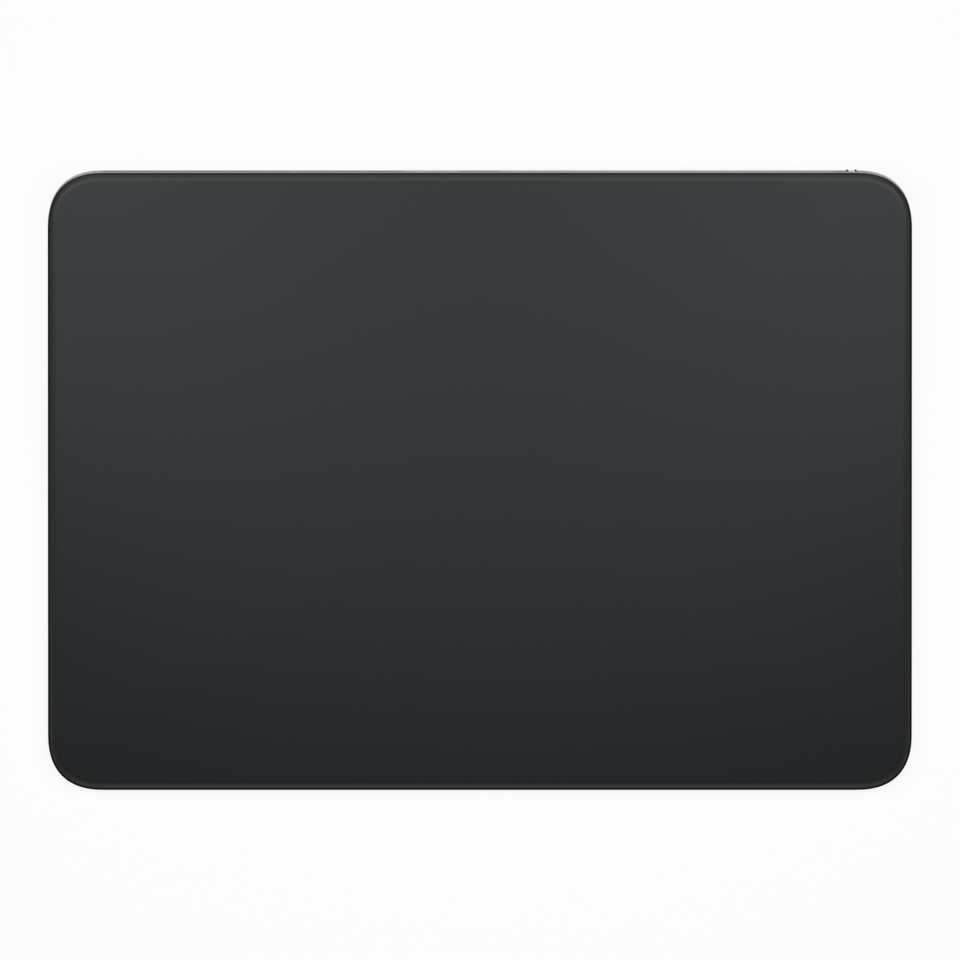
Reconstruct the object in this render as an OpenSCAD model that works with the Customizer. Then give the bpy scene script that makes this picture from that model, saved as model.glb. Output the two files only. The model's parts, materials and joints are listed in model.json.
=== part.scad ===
// Wedge-shaped desk trackpad: matte glass over an aluminium housing, with the touch sensor,
// electronics, battery, click actuator, press-sensing feet and power switch as separate pieces.
// X runs to the right, Y to the rear and Z up. The origin is on the desk under the middle.

/* [Body] */
// Width across the glass
body_w = 160; // [156:1:180]
// Depth on the desk, from the front edge to the foot of the rear wall
body_d = 114.9; // [113:0.1:130]
// Height of the glass above the desk at its rear edge
rear_h = 10.9; // [10.6:0.1:14]
// Height of the glass above the desk at its front edge
front_h = 4.9; // [4.8:0.1:7]
// Length of side that each corner curve takes up
corner_reach = 10.65; // [9:0.05:14]
// Power of the corner curve, where 2 is a plain arc
corner_power = 2.47; // [2.2:0.01:2.8]
// Thickness of the housing walls
wall_t = 3; // [2.8:0.1:3.4]
// Thickness of the web that closes the housing under the touch sensor
web_t = 0.7; // [0.6:0.05:0.8]
// Radius along the bottom edge of the housing
edge_r = 1; // [0.6:0.1:1.2]
// Radius of the inner corners of the housing
inner_r = 5; // [4:0.5:5.5]
// Height of the bottom face above the desk
base_z = 0.6; // [0.5:0.05:0.7]

/* [Glass and touch sensor] */
// Thickness of the glass
glass_t = 1.1; // [1:0.05:1.2]
// Width of the rounded edge of the glass
glass_edge_w = 1.4; // [0.6:0.1:2]
// Height of the rounded edge of the glass
glass_edge_h = 0.55; // [0.3:0.05:0.8]
// Thickness of the bond sheet under the glass
bond_t = 0.15; // [0.1:0.05:0.2]
// Distance of the bond sheet from the edge of the glass
bond_inset = 0.5; // [0.3:0.1:1]
// Thickness of the touch sensor board
sensor_t = 0.5; // [0.4:0.05:0.6]
// Thickness of the tape under the touch sensor board
sensor_tape_t = 0.1; // [0.05:0.05:0.15]
// Width of the housing rim around the touch sensor board
sensor_rim = 2.2; // [1.8:0.1:2.6]
// Clearance around the touch sensor board
sensor_gap = 0.25; // [0.1:0.05:0.4]
// Radius of the corners of the touch sensor board
sensor_r = 5.5; // [5:0.5:7]
// Thickness of every flat cable
flex_t = 0.15; // [0.1:0.05:0.2]
// Width of the touch sensor's flat cable
sensor_flex_w = 16; // [10:1:20]
// Clearance around the touch sensor's flat cable in the web
slot_gap = 0.4; // [0.2:0.1:0.5]

/* [Bottom cover] */
// Thickness of the bottom cover
cover_t = 0.8; // [0.7:0.05:0.9]
// Width of the housing rim around the bottom cover
cover_rim = 1.5; // [1.4:0.05:1.6]
// Clearance around the bottom cover
cover_gap = 0.15; // [0.1:0.05:0.2]
// Radius of the corners of the cover's recess
cover_r = 7.5; // [6.5:0.5:8]
// Thickness of the bonded gasket over the cover
gasket_t = 0.15; // [0.1:0.05:0.2]
// Width of the bonded gasket
gasket_w = 1.1; // [0.8:0.1:1.2]

/* [Feet and press sensing] */
// Diameter of each rubber foot
foot_d = 10; // [8:0.5:12]
// Height of each rubber foot
foot_h = 1.1; // [0.9:0.05:1.2]
// Radial clearance of a foot in the cover
foot_gap = 0.3; // [0.2:0.05:0.4]
// Distance of the feet from the sides of the body
foot_inset_x = 16; // [14:0.5:17]
// Distance of the feet from the front and the rear of the body
foot_inset_y = 15.45; // [14.5:0.05:18]
// Diameter of the plunger over each foot
plunger_d = 8; // [6:0.5:9]
// Thickness of each flexure
flexure_t = 0.3; // [0.25:0.05:0.35]
// Width of each flexure
flexure_w = 8; // [6:0.5:9]
// Length of each flexure
flexure_l = 26.5; // [25:0.5:28]
// Length of flexure past the plunger
flexure_tip = 0.5; // [0.2:0.1:1]
// Clearance between a flexure and the bottom cover
flexure_gap = 0.5; // [0.45:0.05:0.6]
// Distance of the first flexure screw from the clamped end
clamp_inset = 2.5; // [2.5:0.1:3]
// Distance between the two screws of a flexure
clamp_pitch = 4; // [3.6:0.1:4.2]
// Diameter of the bosses that carry the flexures
clamp_boss_d = 4.6; // [4:0.1:5]
// Length of a strain gauge along the flexure
gauge_l = 3; // [2:0.5:3.5]
// Width of a strain gauge
gauge_w = 5; // [4:0.5:6]
// Thickness of a strain gauge
gauge_t = 0.12; // [0.08:0.02:0.16]
// Distance of a strain gauge from the clamped end of the flexure
gauge_at = 12; // [11:0.5:13]
// Width of the flat cable of the strain gauges
force_flex_w = 3; // [2:0.5:3]
// Width of its branch to each strain gauge
force_branch_w = 2; // [1.5:0.5:2.5]
// Distance between the flat cables beside the battery
lane_gap = 1.2; // [0.8:0.1:1.4]

/* [Screws] */
// Diameter of a screw's thread
screw_d = 1.4; // [1.2:0.1:1.5]
// Diameter of a screw's head
screw_head_d = 2.8; // [2.4:0.1:3]
// Height of a screw's head
screw_head_h = 0.4; // [0.35:0.05:0.45]
// Width of the six-sided drive in a screw's head
screw_drive_d = 1.1; // [0.9:0.1:1.3]
// Depth of that drive
screw_drive_h = 0.25; // [0.15:0.05:0.3]
// Depth of thread in the housing
screw_bite = 1.2; // [1:0.1:1.3]
// Radial room around a thread in the housing
thread_gap = 0.05; // [0.03:0.01:0.08]
// Radial room around a thread in the piece that it holds
hole_gap = 0.15; // [0.1:0.05:0.2]

/* [Logic board] */
// Width of the logic board
board_w = 104; // [92:1:116]
// Depth of the logic board
board_d = 12; // [11.5:0.5:12.5]
// Thickness of the logic board
board_t = 0.8; // [0.7:0.05:0.9]
// Height of the bosses that carry the logic board
board_standoff = 1; // [0.8:0.05:1.1]
// Clearance between the logic board and the rear wall
board_wall_gap = 1.8; // [1.6:0.1:2]
// Diameter of the bosses that carry the logic board
board_boss_d = 3.6; // [3.2:0.1:3.8]
// Distance of the outer screws from the ends of the logic board
board_screw_inset = 4; // [3.5:0.5:5]
// Distance of the inner screws from the middle
board_screw_x = 20; // [19:0.5:21]
// Width of the radio's shield can
can_w = 15; // [13:0.5:16]
// Depth of the radio's shield can
can_d = 8; // [7:0.5:8.2]
// Height of the radio's shield can
can_h = 1.4; // [1.2:0.1:1.6]
// Wall of the radio's shield can
can_t = 0.2; // [0.15:0.05:0.25]
// Distance of the shield can's middle from the inner screw
can_x = 12; // [11.5:0.5:13]
// Distance of the connectors from the front edge of the logic board
connector_inset = 0.6; // [0.4:0.1:0.8]
// Depth of the connectors
connector_d = 3; // [2.5:0.1:3.2]
// Height of the battery connector
battery_connector_h = 1.2; // [1:0.1:1.4]
// Margin of a connector beside the flat cable that it holds
connector_margin = 0.5; // [0.2:0.1:0.6]
// Width of each main chip
main_chip_w = 6; // [5:0.5:6.5]
// Distance of the first main chip from the inner screw
main_chip_x = 6; // [5.5:0.5:7]
// Distance between the main chips
main_chip_pitch = 7; // [6.5:0.5:8]
// Width of each small chip
small_chip_w = 4.5; // [3.5:0.5:5]
// Distance of each small chip from the inner screw
small_chip_x = 7; // [6.5:0.5:7.5]
// Height of the chips
chip_h = 0.9; // [0.6:0.05:1]
// Length of a small passive part
passive_l = 1; // [0.8:0.1:1.2]
// Width of a small passive part
passive_w = 0.5; // [0.4:0.1:0.6]
// Height of a small passive part
passive_h = 0.45; // [0.3:0.05:0.5]
// Distance between passive parts
passive_pitch = 2; // [1.8:0.1:2.2]
// Distance of the passive parts from the edges of the logic board
passive_inset = 0.8; // [0.6:0.1:1]

/* [Antenna] */
// Length of the antenna window in the rear wall
window_l = 56.1; // [50:0.1:57]
// Height of the antenna window
window_h = 3; // [2.4:0.1:3.4]
// Distance of the window's middle from the left side of the body
window_x = 37.9; // [36:0.1:39]
// Clearance around the window in the wall
window_gap = 0.05; // [0.03:0.01:0.08]
// Thickness of the window's flange on the inside of the wall
window_flange_t = 0.6; // [0.5:0.05:0.7]
// Width of the window's flange
window_flange_w = 0.8; // [0.5:0.1:1]
// Length of the antenna film
antenna_l = 50; // [40:1:52]
// Height of the antenna film
antenna_h = 3.2; // [2.8:0.1:3.6]
// Width of the antenna's tail to the logic board
antenna_tail_w = 3; // [2:0.5:4]
// Length of that tail under the logic board
antenna_tail_lap = 2.4; // [2:0.1:2.5]

/* [Charging socket] */
// Width of the socket's slot in the rear wall
port_w = 7.4; // [7:0.1:8]
// Height of the socket's slot
port_h = 2.5; // [2.3:0.1:2.7]
// Clearance around the socket in its slot
port_gap = 0.1; // [0.05:0.05:0.15]
// Distance of the socket's mouth behind the outer face of the wall
port_recess = 0.4; // [0.2:0.1:0.8]
// Length of the socket
socket_l = 9; // [8.5:0.1:9.5]
// Wall of the socket
socket_t = 0.25; // [0.2:0.05:0.3]
// Clearance of the insulator in the socket
insulator_gap = 0.05; // [0.03:0.01:0.08]
// Length of the insulator's back block
insulator_l = 2.5; // [2:0.1:3]
// Thickness of the insulator's tongue
tongue_t = 0.4; // [0.3:0.05:0.5]
// Width of the insulator's tongue
tongue_w = 5; // [4.9:0.1:5.2]
// Distance of the tongue's tip behind the socket's mouth
tongue_recess = 0.8; // [0.5:0.1:1.5]
// Number of contacts in the socket
contact_n = 8; // [6:1:8]
// Distance between contacts
contact_pitch = 0.6; // [0.55:0.05:0.65]
// Width of a contact
contact_w = 0.35; // [0.25:0.05:0.4]
// Thickness of a contact
contact_t = 0.12; // [0.08:0.02:0.16]
// Distance of the contacts from the tongue's tip
contact_tip = 0.35; // [0.2:0.05:0.5]
// Thickness of the socket's bracket
bracket_t = 0.3; // [0.25:0.05:0.35]
// Depth of the socket's bracket
bracket_d = 3.2; // [3:0.1:3.4]
// Distance of the bracket from the rear edge of the logic board
bracket_inset = 0.5; // [0.3:0.1:0.7]
// Clearance between the bracket's legs and the socket
bracket_gap = 0.15; // [0.1:0.05:0.2]
// Distance of the bracket's screws from the middle
bracket_screw_x = 6.8; // [6.6:0.1:7]

/* [Power switch] */
// Distance of the switch from the right side of the body
switch_inset = 12.3; // [12:0.1:13]
// Length of the switch's slot in the rear wall
switch_slot_l = 4.45; // [4.4:0.05:5]
// Height of the switch's slot
switch_slot_h = 2; // [1.8:0.1:2.2]
// Radius of the corners of the slot
switch_slot_r = 0.5; // [0.3:0.05:0.7]
// Width of the knob
knob_w = 1.95; // [1.8:0.05:2]
// Travel of the knob
knob_travel = 2.2; // [2:0.05:2.3]
// Clearance of the knob above and below in its slot
knob_gap = 0.1; // [0.08:0.01:0.15]
// Height of the knob over the wall
knob_proud = 0.3; // [0.1:0.05:0.5]
// Depth of the finger dip in the knob
knob_dip = 0.35; // [0.2:0.05:0.5]
// Width of each horn beside the dip
knob_horn = 0.22; // [0.15:0.01:0.3]
// Wall left around the slot
switch_skin = 1.2; // [1:0.1:1.4]
// Thickness of the plate behind the knob
slider_t = 0.5; // [0.4:0.05:0.6]
// Lap of the plate past the slot on every side
slider_lap = 0.35; // [0.3:0.05:0.5]
// Running clearance before and behind the plate
slider_gap = 0.12; // [0.1:0.01:0.15]
// Room around the plate inside the wall
slider_room = 0.3; // [0.2:0.05:0.4]
// Width of the stem that moves the contacts
stem_w = 1; // [0.8:0.1:1.2]
// Length of that stem
stem_l = 1.2; // [1:0.1:1.4]
// Clearance around the stem
stem_gap = 0.2; // [0.15:0.05:0.3]
// Depth of the switch's body
switch_d = 4.3; // [4:0.1:4.5]
// Thickness of the switch's mounting flange
flange_t = 0.6; // [0.5:0.05:0.7]
// Reach of that flange in front of the switch's body
flange_reach = 4.4; // [4:0.1:4.6]
// Width of the switch's flat cable
switch_flex_w = 1; // [0.6:0.1:1.4]
// Length of that cable under the logic board
switch_flex_lap = 8; // [6:0.5:9]

/* [Battery] */
// Width of the battery cell
battery_w = 88; // [78:1:96]
// Depth of the battery cell
battery_d = 32; // [26:1:33]
// Radius of the battery cell's corners
battery_r = 1.5; // [1:0.1:3]
// Room under the battery cell for swelling
battery_room = 0.5; // [0.4:0.05:0.8]
// Thickness of the tape that holds the battery
battery_tape_t = 0.15; // [0.1:0.05:0.2]
// Distance of the tape from the battery's edges
battery_tape_inset = 2; // [1:0.5:4]
// Width of the battery's protection board
guard_w = 4; // [3.5:0.1:4.2]
// Length of the battery's protection board
guard_l = 24; // [20:1:28]
// Thickness of the battery's protection board
guard_t = 0.6; // [0.5:0.05:0.7]
// Distance between the battery and the touch sensor's cable
battery_rear_gap = 1.2; // [1:0.1:1.4]
// Distance between the touch sensor's cable and the logic board
sensor_flex_gap = 1.3; // [1.2:0.1:1.5]
// Thickness of a battery wire
wire_t = 0.4; // [0.3:0.05:0.45]
// Width of a battery wire
wire_w = 0.8; // [0.6:0.05:0.9]
// Distance between battery wires
wire_pitch = 1.3; // [1.2:0.05:1.4]
// Lap of a battery wire on the protection board
wire_lap = 4; // [2:0.5:6]
// Distance of a battery wire under the logic board
wire_drop = 0.4; // [0.3:0.05:0.5]

/* [Click actuator] */
// Width of the actuator's frame
haptic_w = 54; // [52:0.5:58]
// Depth of the actuator's frame
haptic_d = 21; // [20:0.5:22]
// Clearance between the actuator and the bottom cover
haptic_gap = 0.4; // [0.35:0.05:0.5]
// Distance between the actuator and the battery
haptic_battery_gap = 3; // [2:0.5:4]
// Thickness of the frame's base
frame_base_t = 0.4; // [0.35:0.05:0.5]
// Thickness of the frame's walls
frame_wall_t = 0.6; // [0.5:0.05:0.8]
// Thickness of the coils and their cores
coil_t = 0.5; // [0.4:0.05:0.6]
// Width of a coil
coil_w = 16; // [14:0.5:17]
// Depth of a coil
coil_d = 12; // [11:0.5:13]
// Radius of a coil's outer corners
coil_r = 3; // [2:0.5:4]
// Width of a coil's winding
coil_band = 3.6; // [3:0.1:4]
// Clearance between a coil and its core
core_gap = 0.2; // [0.1:0.05:0.3]
// Distance of each coil from the middle of the actuator
coil_x = 10; // [9.5:0.1:10.5]
// Width of the moving mass
mass_w = 40; // [38:0.5:41]
// Depth of the moving mass
mass_d = 15; // [14:0.5:16]
// Thickness of the moving mass
mass_t = 0.7; // [0.6:0.05:0.8]
// Air gap between the coils and the moving mass
air_gap = 0.2; // [0.15:0.05:0.25]
// Depth of the moving mass inside the frame's lower edge
mass_recess = 0.2; // [0.15:0.05:0.3]
// Width of a magnet
magnet_w = 7; // [5:0.5:8]
// Depth of a magnet
magnet_d = 11; // [9:0.5:12]
// Bond gap around a magnet
magnet_gap = 0.05; // [0.03:0.01:0.08]
// Thickness of a leaf spring
leaf_t = 0.25; // [0.2:0.05:0.3]
// Length of a leaf spring
leaf_l = 14; // [12:0.5:14.5]
// Distance of a leaf spring from the moving mass
leaf_gap = 3; // [2.5:0.1:3.2]
// Length of the pad at each end of a leaf spring
leaf_pad = 2; // [1.5:0.1:2.5]
// Reach of the frame's ears
ear_w = 6; // [5:0.5:6.5]
// Depth of the frame's ears
ear_d = 5; // [4.4:0.1:5.5]
// Thickness of the frame's ears
ear_t = 0.45; // [0.4:0.05:0.55]
// Distance of the ears from the actuator's middle line
ear_at = 7; // [6.5:0.1:7.5]
// Diameter of the bosses that carry the actuator
ear_boss_d = 4; // [3.6:0.1:4.4]
// Width of the actuator's flat cable
haptic_flex_w = 2; // [1.5:0.1:2.2]
// Distance of that cable's rise to the web from the frame
haptic_riser_gap = 1.5; // [1:0.1:2]

/* [Hidden] */
$fn = 64;
corner_names = ["front_left", "front_right", "rear_left", "rear_right"];
corner_side_x = [-1, 1, -1, 1];
corner_side_y = [-1, -1, 1, 1];
corner_ids = [0, 1, 2, 3];
sides = [-1, 1];

// Cutting shapes run past the faces that they open by this much
over = 1;
// Bosses run into the web by this much
boss_root = 0.35;
// Steps along each corner curve, and along each rounded edge
corner_steps = 12;
edge_steps = 6;

// Slope of the glass: the walls stand square to it, so the foot of the rear wall reaches past its top
rise = rear_h - front_h;
wall_drop = rear_h - base_z - edge_r;
slope_tan = (body_d - sqrt(body_d * body_d - 4 * wall_drop * rise)) / (2 * wall_drop);
tilt = atan(slope_tan);
slope_l = (body_d - wall_drop * slope_tan) / cos(tilt);
mid_y = -body_d / 2 + slope_l * cos(tilt) / 2;
mid_z = (rear_h + front_h) / 2;

// Places on the slope: v runs to the rear along the glass, and level is measured up from its top face
function desk_z(v, level) = mid_z + v * sin(tilt) + level * cos(tilt);
function slope_v(y, level) = (y - mid_y + level * sin(tilt)) / cos(tilt);
function level_at(v, z) = (z - mid_z - v * sin(tilt)) / cos(tilt);

// Levels of the layers under the glass
rim_level = -glass_t - bond_t;
sensor_level = rim_level - sensor_t;
web_level = sensor_level - sensor_tape_t;
roof_level = web_level - web_t;

// Inner faces of the housing
half_v = slope_l / 2;
inner_x = body_w / 2 - wall_t;
inner_v = half_v - wall_t;

// Heights of the bottom cover
cover_top = base_z + cover_t;
ledge_z = cover_top + gasket_t;
base_y = mid_y - (base_z + edge_r - mid_z) * slope_tan;
recess_w = body_w - 2 * cover_rim;
recess_d = slope_l / cos(tilt) - 2 * cover_rim;

function roof_z(y) = desk_z(slope_v(y, roof_level), roof_level);
function room_under_roof(v) = roof_level - level_at(v, cover_top);

// Logic board
board_top = roof_level - board_standoff;
board_bottom = board_top - board_t;
board_v1 = inner_v - board_wall_gap;
board_v0 = board_v1 - board_d;
board_mid_v = (board_v0 + board_v1) / 2;
board_screw_xs = [for (s = sides) each [s * (board_w / 2 - board_screw_inset), s * board_screw_x]];
connector_v0 = board_v0 + connector_inset;
connector_v1 = connector_v0 + connector_d;
board_screw_v = connector_v1 + connector_margin + board_boss_d / 2;
can_mid_x = -board_screw_x - can_x;
can_v = board_v0 + (board_d - antenna_tail_lap) / 2;

// Charging socket
socket_w = port_w - 2 * port_gap;
socket_h = port_h - 2 * port_gap;
socket_level = board_bottom - socket_h / 2;
socket_v1 = half_v - port_recess;
socket_v0 = socket_v1 - socket_l;
cavity_w = socket_w - 2 * socket_t;
cavity_h = socket_h - 2 * socket_t;
insulator_w = cavity_w - 2 * insulator_gap;
insulator_h = cavity_h - 2 * insulator_gap;
tongue_level = socket_level - insulator_h / 2;
tongue_v0 = socket_v0 + insulator_l;
tongue_v1 = socket_v1 - tongue_recess;
bracket_v1 = board_v1 - bracket_inset;
bracket_mid_v = bracket_v1 - bracket_d / 2;
bracket_leg_x = socket_w / 2 + bracket_gap;
bracket_ear_x = bracket_screw_x + screw_head_d / 2 + bracket_gap;

// Antenna
window_mid_x = window_x - body_w / 2;
film_v1 = inner_v - window_flange_t;
film_v0 = film_v1 - flex_t;

// Power switch: the knob rests at the right end of its slot
switch_x = body_w / 2 - switch_inset;
knob_end_gap = (switch_slot_l - knob_w - knob_travel) / 2;
knob_x = switch_x + (switch_slot_l - knob_w) / 2 - knob_end_gap;
knob_far_x = knob_x - knob_travel;
slider_half_w = switch_slot_l / 2 + knob_travel / 2 + slider_lap;
slider_half_h = switch_slot_h / 2 + slider_lap;
pocket_half_w = slider_half_w + knob_travel / 2 + slider_room;
pocket_half_h = slider_half_h + slider_room;
pocket_v = half_v - switch_skin;
slider_v1 = pocket_v - slider_gap;
slider_v0 = slider_v1 - slider_t;
switch_v1 = slider_v0 - slider_gap;
switch_v0 = switch_v1 - switch_d;
switch_half_w = pocket_half_w - slider_room / 2;
switch_half_h = pocket_half_h - slider_room / 2;
flange_v0 = switch_v0 - flange_reach;
flange_screw_v = flange_v0 + screw_head_d / 2 + hole_gap;
flange_screw_xs = [for (s = sides) switch_x + s * (switch_half_w - screw_head_d / 2)];
dip_half_w = knob_w / 2 - knob_horn;
dip_r = (dip_half_w * dip_half_w + knob_dip * knob_dip) / (2 * knob_dip);

// Battery, hung under the web in front of the logic board
sensor_flex_v = board_v0 - sensor_flex_gap;
battery_v1 = sensor_flex_v - battery_rear_gap;
battery_v0 = battery_v1 - battery_d;
battery_mid_v = (battery_v0 + battery_v1) / 2;
battery_top = roof_level - battery_tape_t;
battery_t = room_under_roof(battery_v0) - battery_tape_t - battery_room;
battery_x = -guard_w / 2;
guard_x = battery_w / 2;
guard_bottom = battery_top - guard_t;
guard_v1 = battery_mid_v + guard_l / 2;
wire_v1 = board_v0 - sensor_flex_gap / 2;
wire_level = board_bottom - wire_drop;

// Click actuator, hung over the bottom cover in front of the battery
haptic_v1 = battery_v0 - haptic_battery_gap;
haptic_v0 = haptic_v1 - haptic_d;
haptic_v = (haptic_v0 + haptic_v1) / 2;
frame_inner_x = haptic_w / 2 - frame_wall_t;
frame_bottom = level_at(haptic_v0, cover_top) + haptic_gap;
mass_bottom = frame_bottom + mass_recess;
mass_top = mass_bottom + mass_t;
coil_level = mass_top + air_gap;
frame_base_level = coil_level + coil_t;
frame_top = frame_base_level + frame_base_t;
ear_bottom = frame_bottom + screw_head_h;
ear_top = ear_bottom + ear_t;
ear_screw_x = haptic_w / 2 + ear_w / 2;

// Feet and flexures
foot_x = body_w / 2 - foot_inset_x;
foot_y = body_d / 2 - foot_inset_y;
flexure_z0 = cover_top + flexure_gap;
flexure_z1 = flexure_z0 + flexure_t;
flexure_tip_y = foot_y + plunger_d / 2 + flexure_tip;
flexure_root_y = flexure_tip_y - flexure_l;
clamp_ys = [flexure_root_y + clamp_inset, flexure_root_y + clamp_inset + clamp_pitch];
gauge_y = flexure_root_y + gauge_at;
gauge_top = flexure_z1 + gauge_t;

// Flat cables: lanes beside the flexures, and connectors at the ends of the logic board
flex_under = roof_level - flex_t;
force_lane_x = foot_x - clamp_boss_d / 2 - lane_gap - force_flex_w;
force_lane_end = force_lane_x + force_flex_w;
haptic_lane_x = force_lane_x - lane_gap - haptic_flex_w;
haptic_lane_end = haptic_lane_x + haptic_flex_w;
force_port_x = board_w / 2 - connector_margin - force_flex_w;
force_port_end = force_port_x + force_flex_w;
haptic_port_x = force_port_x - 2 * connector_margin - lane_gap - haptic_flex_w;
haptic_port_end = haptic_port_x + haptic_flex_w;
jog_v = (battery_v1 + connector_v0) / 2;

// One ring of the outline, as seen square to the glass, at a distance inside the edge
function outline(inset) = [
    for (q = [0:3]) for (i = [0:corner_steps])
        let (a = 90 * i / corner_steps,
             reach = corner_reach - inset,
             near = reach * pow(cos(a), 2 / corner_power),
             far = reach * pow(sin(a), 2 / corner_power),
             side_x = (q == 0 || q == 3) ? 1 : -1,
             side_v = q < 2 ? 1 : -1,
             turn = q % 2)
        [side_x * (body_w / 2 - corner_reach + (turn == 0 ? near : far)),
         side_v * (half_v - corner_reach + (turn == 0 ? far : near))]
];

// The outline at one level under the glass
function slope_ring(inset, level) = [for (p = outline(inset)) [p.x, p.y, level]];

// The foot of the walls at one height over the desk, in the frame of the glass
function desk_ring(inset, z) = [
    for (p = outline(inset))
        let (dy = base_y + p.y / cos(tilt) - mid_y, dz = z - mid_z)
        [p.x, dy * cos(tilt) + dz * sin(tilt), dz * cos(tilt) - dy * sin(tilt)]
];

module loft(rings) {
    n = len(rings[0]);
    last = len(rings) - 1;
    polyhedron(
        points = [for (r = rings) each r],
        faces = concat(
            [[for (i = [0:n - 1]) i]],
            [for (k = [0:last - 1]) for (i = [0:n - 1])
                let (a = k * n + i, b = k * n + (i + 1) % n)
                each [[a, a + n, b + n], [a, b + n, b]]],
            [[for (i = [n - 1:-1:0]) last * n + i]]
        )
    );
}

module on_glass() {
    translate([0, mid_y, mid_z]) rotate([tilt, 0, 0]) children();
}

module block(low, high) {
    translate(low) cube(high - low);
}

// A block between two distances from the middle, on the left or the right side
module side_block(s, near, far, low, high) {
    block([min(s * near, s * far), low[0], low[1]], [max(s * near, s * far), high[0], high[1]]);
}

module rounded_rect(w, d, r) {
    square([w - 2 * r, d], center = true);
    square([w, d - 2 * r], center = true);
    for (sx = sides) for (sy = sides)
        translate([sx * (w / 2 - r), sy * (d / 2 - r)]) circle(r);
}

module stadium(l, h) {
    square([l - h, h], center = true);
    for (s = sides) translate([s * (l - h) / 2, 0]) circle(d = h);
}

module slab(low, high) {
    translate([0, 0, low]) linear_extrude(high - low) children();
}

// A shape drawn on the rear wall and carried through it between two depths
module in_wall(x, level, v0, v1) {
    translate([x, v1, level]) rotate([90, 0, 0]) linear_extrude(v1 - v0) children();
}

// Head down, with its seat at zero
module screw(grip) {
    color("dimgray") difference() {
        union() {
            translate([0, 0, -screw_head_h]) cylinder(d = screw_head_d, h = screw_head_h);
            cylinder(d = screw_d, h = grip + screw_bite);
        }
        translate([0, 0, -screw_head_h - over])
            cylinder(d = screw_drive_d, h = over + screw_drive_h, $fn = 6);
    }
}

module screw_hole(depth) {
    translate([0, 0, -over]) cylinder(d = screw_d + 2 * hole_gap, h = depth + 2 * over);
}

module thread_hole() {
    translate([0, 0, -over])
        cylinder(d = screw_d + 2 * thread_gap, h = over + screw_bite + thread_gap);
}

module at_board_screws() {
    for (x = board_screw_xs) translate([x, board_screw_v, 0]) children();
}

module at_bracket_screws() {
    for (s = sides) translate([s * bracket_screw_x, bracket_mid_v, 0]) children();
}

module at_flange_screws() {
    for (x = flange_screw_xs) translate([x, flange_screw_v, 0]) children();
}

module at_ears() {
    for (sx = sides) for (sv = sides)
        translate([sx * ear_screw_x, haptic_v + sv * ear_at, 0]) children();
}

module at_clamps(i) {
    for (y = clamp_ys)
        translate([corner_side_x[i] * foot_x, corner_side_y[i] * y, 0]) children();
}

module at_foot(i) {
    translate([corner_side_x[i] * foot_x, corner_side_y[i] * foot_y, 0]) children();
}

module touch_glass() {
    color("#2b2d2f") on_glass() loft(concat(
        [slope_ring(0, -glass_t)],
        [for (k = [0:edge_steps])
            let (a = 90 * k / edge_steps)
            slope_ring(glass_edge_w * (1 - cos(a)), glass_edge_h * (sin(a) - 1))]
    ));
}

module glass_bond() {
    color("#8a8f94") on_glass() slab(rim_level, -glass_t) polygon(outline(bond_inset));
}

module sensor_outline(gap) {
    rounded_rect(body_w - 2 * sensor_rim - 2 * gap, slope_l - 2 * sensor_rim - 2 * gap, sensor_r - gap);
}

module sensor_slot() {
    translate([0, sensor_flex_v])
        square([sensor_flex_w + 2 * slot_gap, flex_t + 2 * slot_gap], center = true);
}

module touch_sensor_board() {
    color("#1f5a3a") on_glass() slab(sensor_level, rim_level) sensor_outline(sensor_gap);
}

module sensor_tape() {
    color("#d8d4c0") on_glass() slab(web_level, sensor_level) difference() {
        sensor_outline(sensor_gap);
        sensor_slot();
    }
}

module sensor_flex() {
    color("#b8741a") on_glass() {
        block([-sensor_flex_w / 2, sensor_flex_v - flex_t / 2, flex_under],
              [sensor_flex_w / 2, sensor_flex_v + flex_t / 2, sensor_level]);
        block([-sensor_flex_w / 2, sensor_flex_v - flex_t / 2, flex_under],
              [sensor_flex_w / 2, connector_v1, roof_level]);
    }
}

module housing_body() {
    loft(concat(
        [for (k = [0:edge_steps])
            let (a = 90 * k / edge_steps)
            desk_ring(edge_r * (1 - sin(a)), base_z + edge_r * (1 - cos(a)))],
        [slope_ring(0, rim_level)]
    ));
}

module boss(d, level) {
    translate([0, 0, level]) cylinder(d = d, h = roof_level - level + boss_root);
}

module housing_bosses() {
    on_glass() {
        at_board_screws() boss(board_boss_d, board_top);
        at_bracket_screws() boss(board_boss_d, board_top);
        at_flange_screws() boss(board_boss_d, board_top);
        at_ears() boss(ear_boss_d, ear_top);
    }
    for (i = corner_ids) for (y = clamp_ys)
        translate([corner_side_x[i] * foot_x, corner_side_y[i] * y, flexure_z1])
            cylinder(d = clamp_boss_d, h = roof_z(corner_side_y[i] * y) + boss_root - flexure_z1);
}

module housing_threads() {
    on_glass() {
        translate([0, 0, board_top]) {
            at_board_screws() thread_hole();
            at_bracket_screws() thread_hole();
            at_flange_screws() thread_hole();
        }
        translate([0, 0, ear_top]) at_ears() thread_hole();
    }
    translate([0, 0, flexure_z1]) for (i = corner_ids) at_clamps(i) thread_hole();
}

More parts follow.
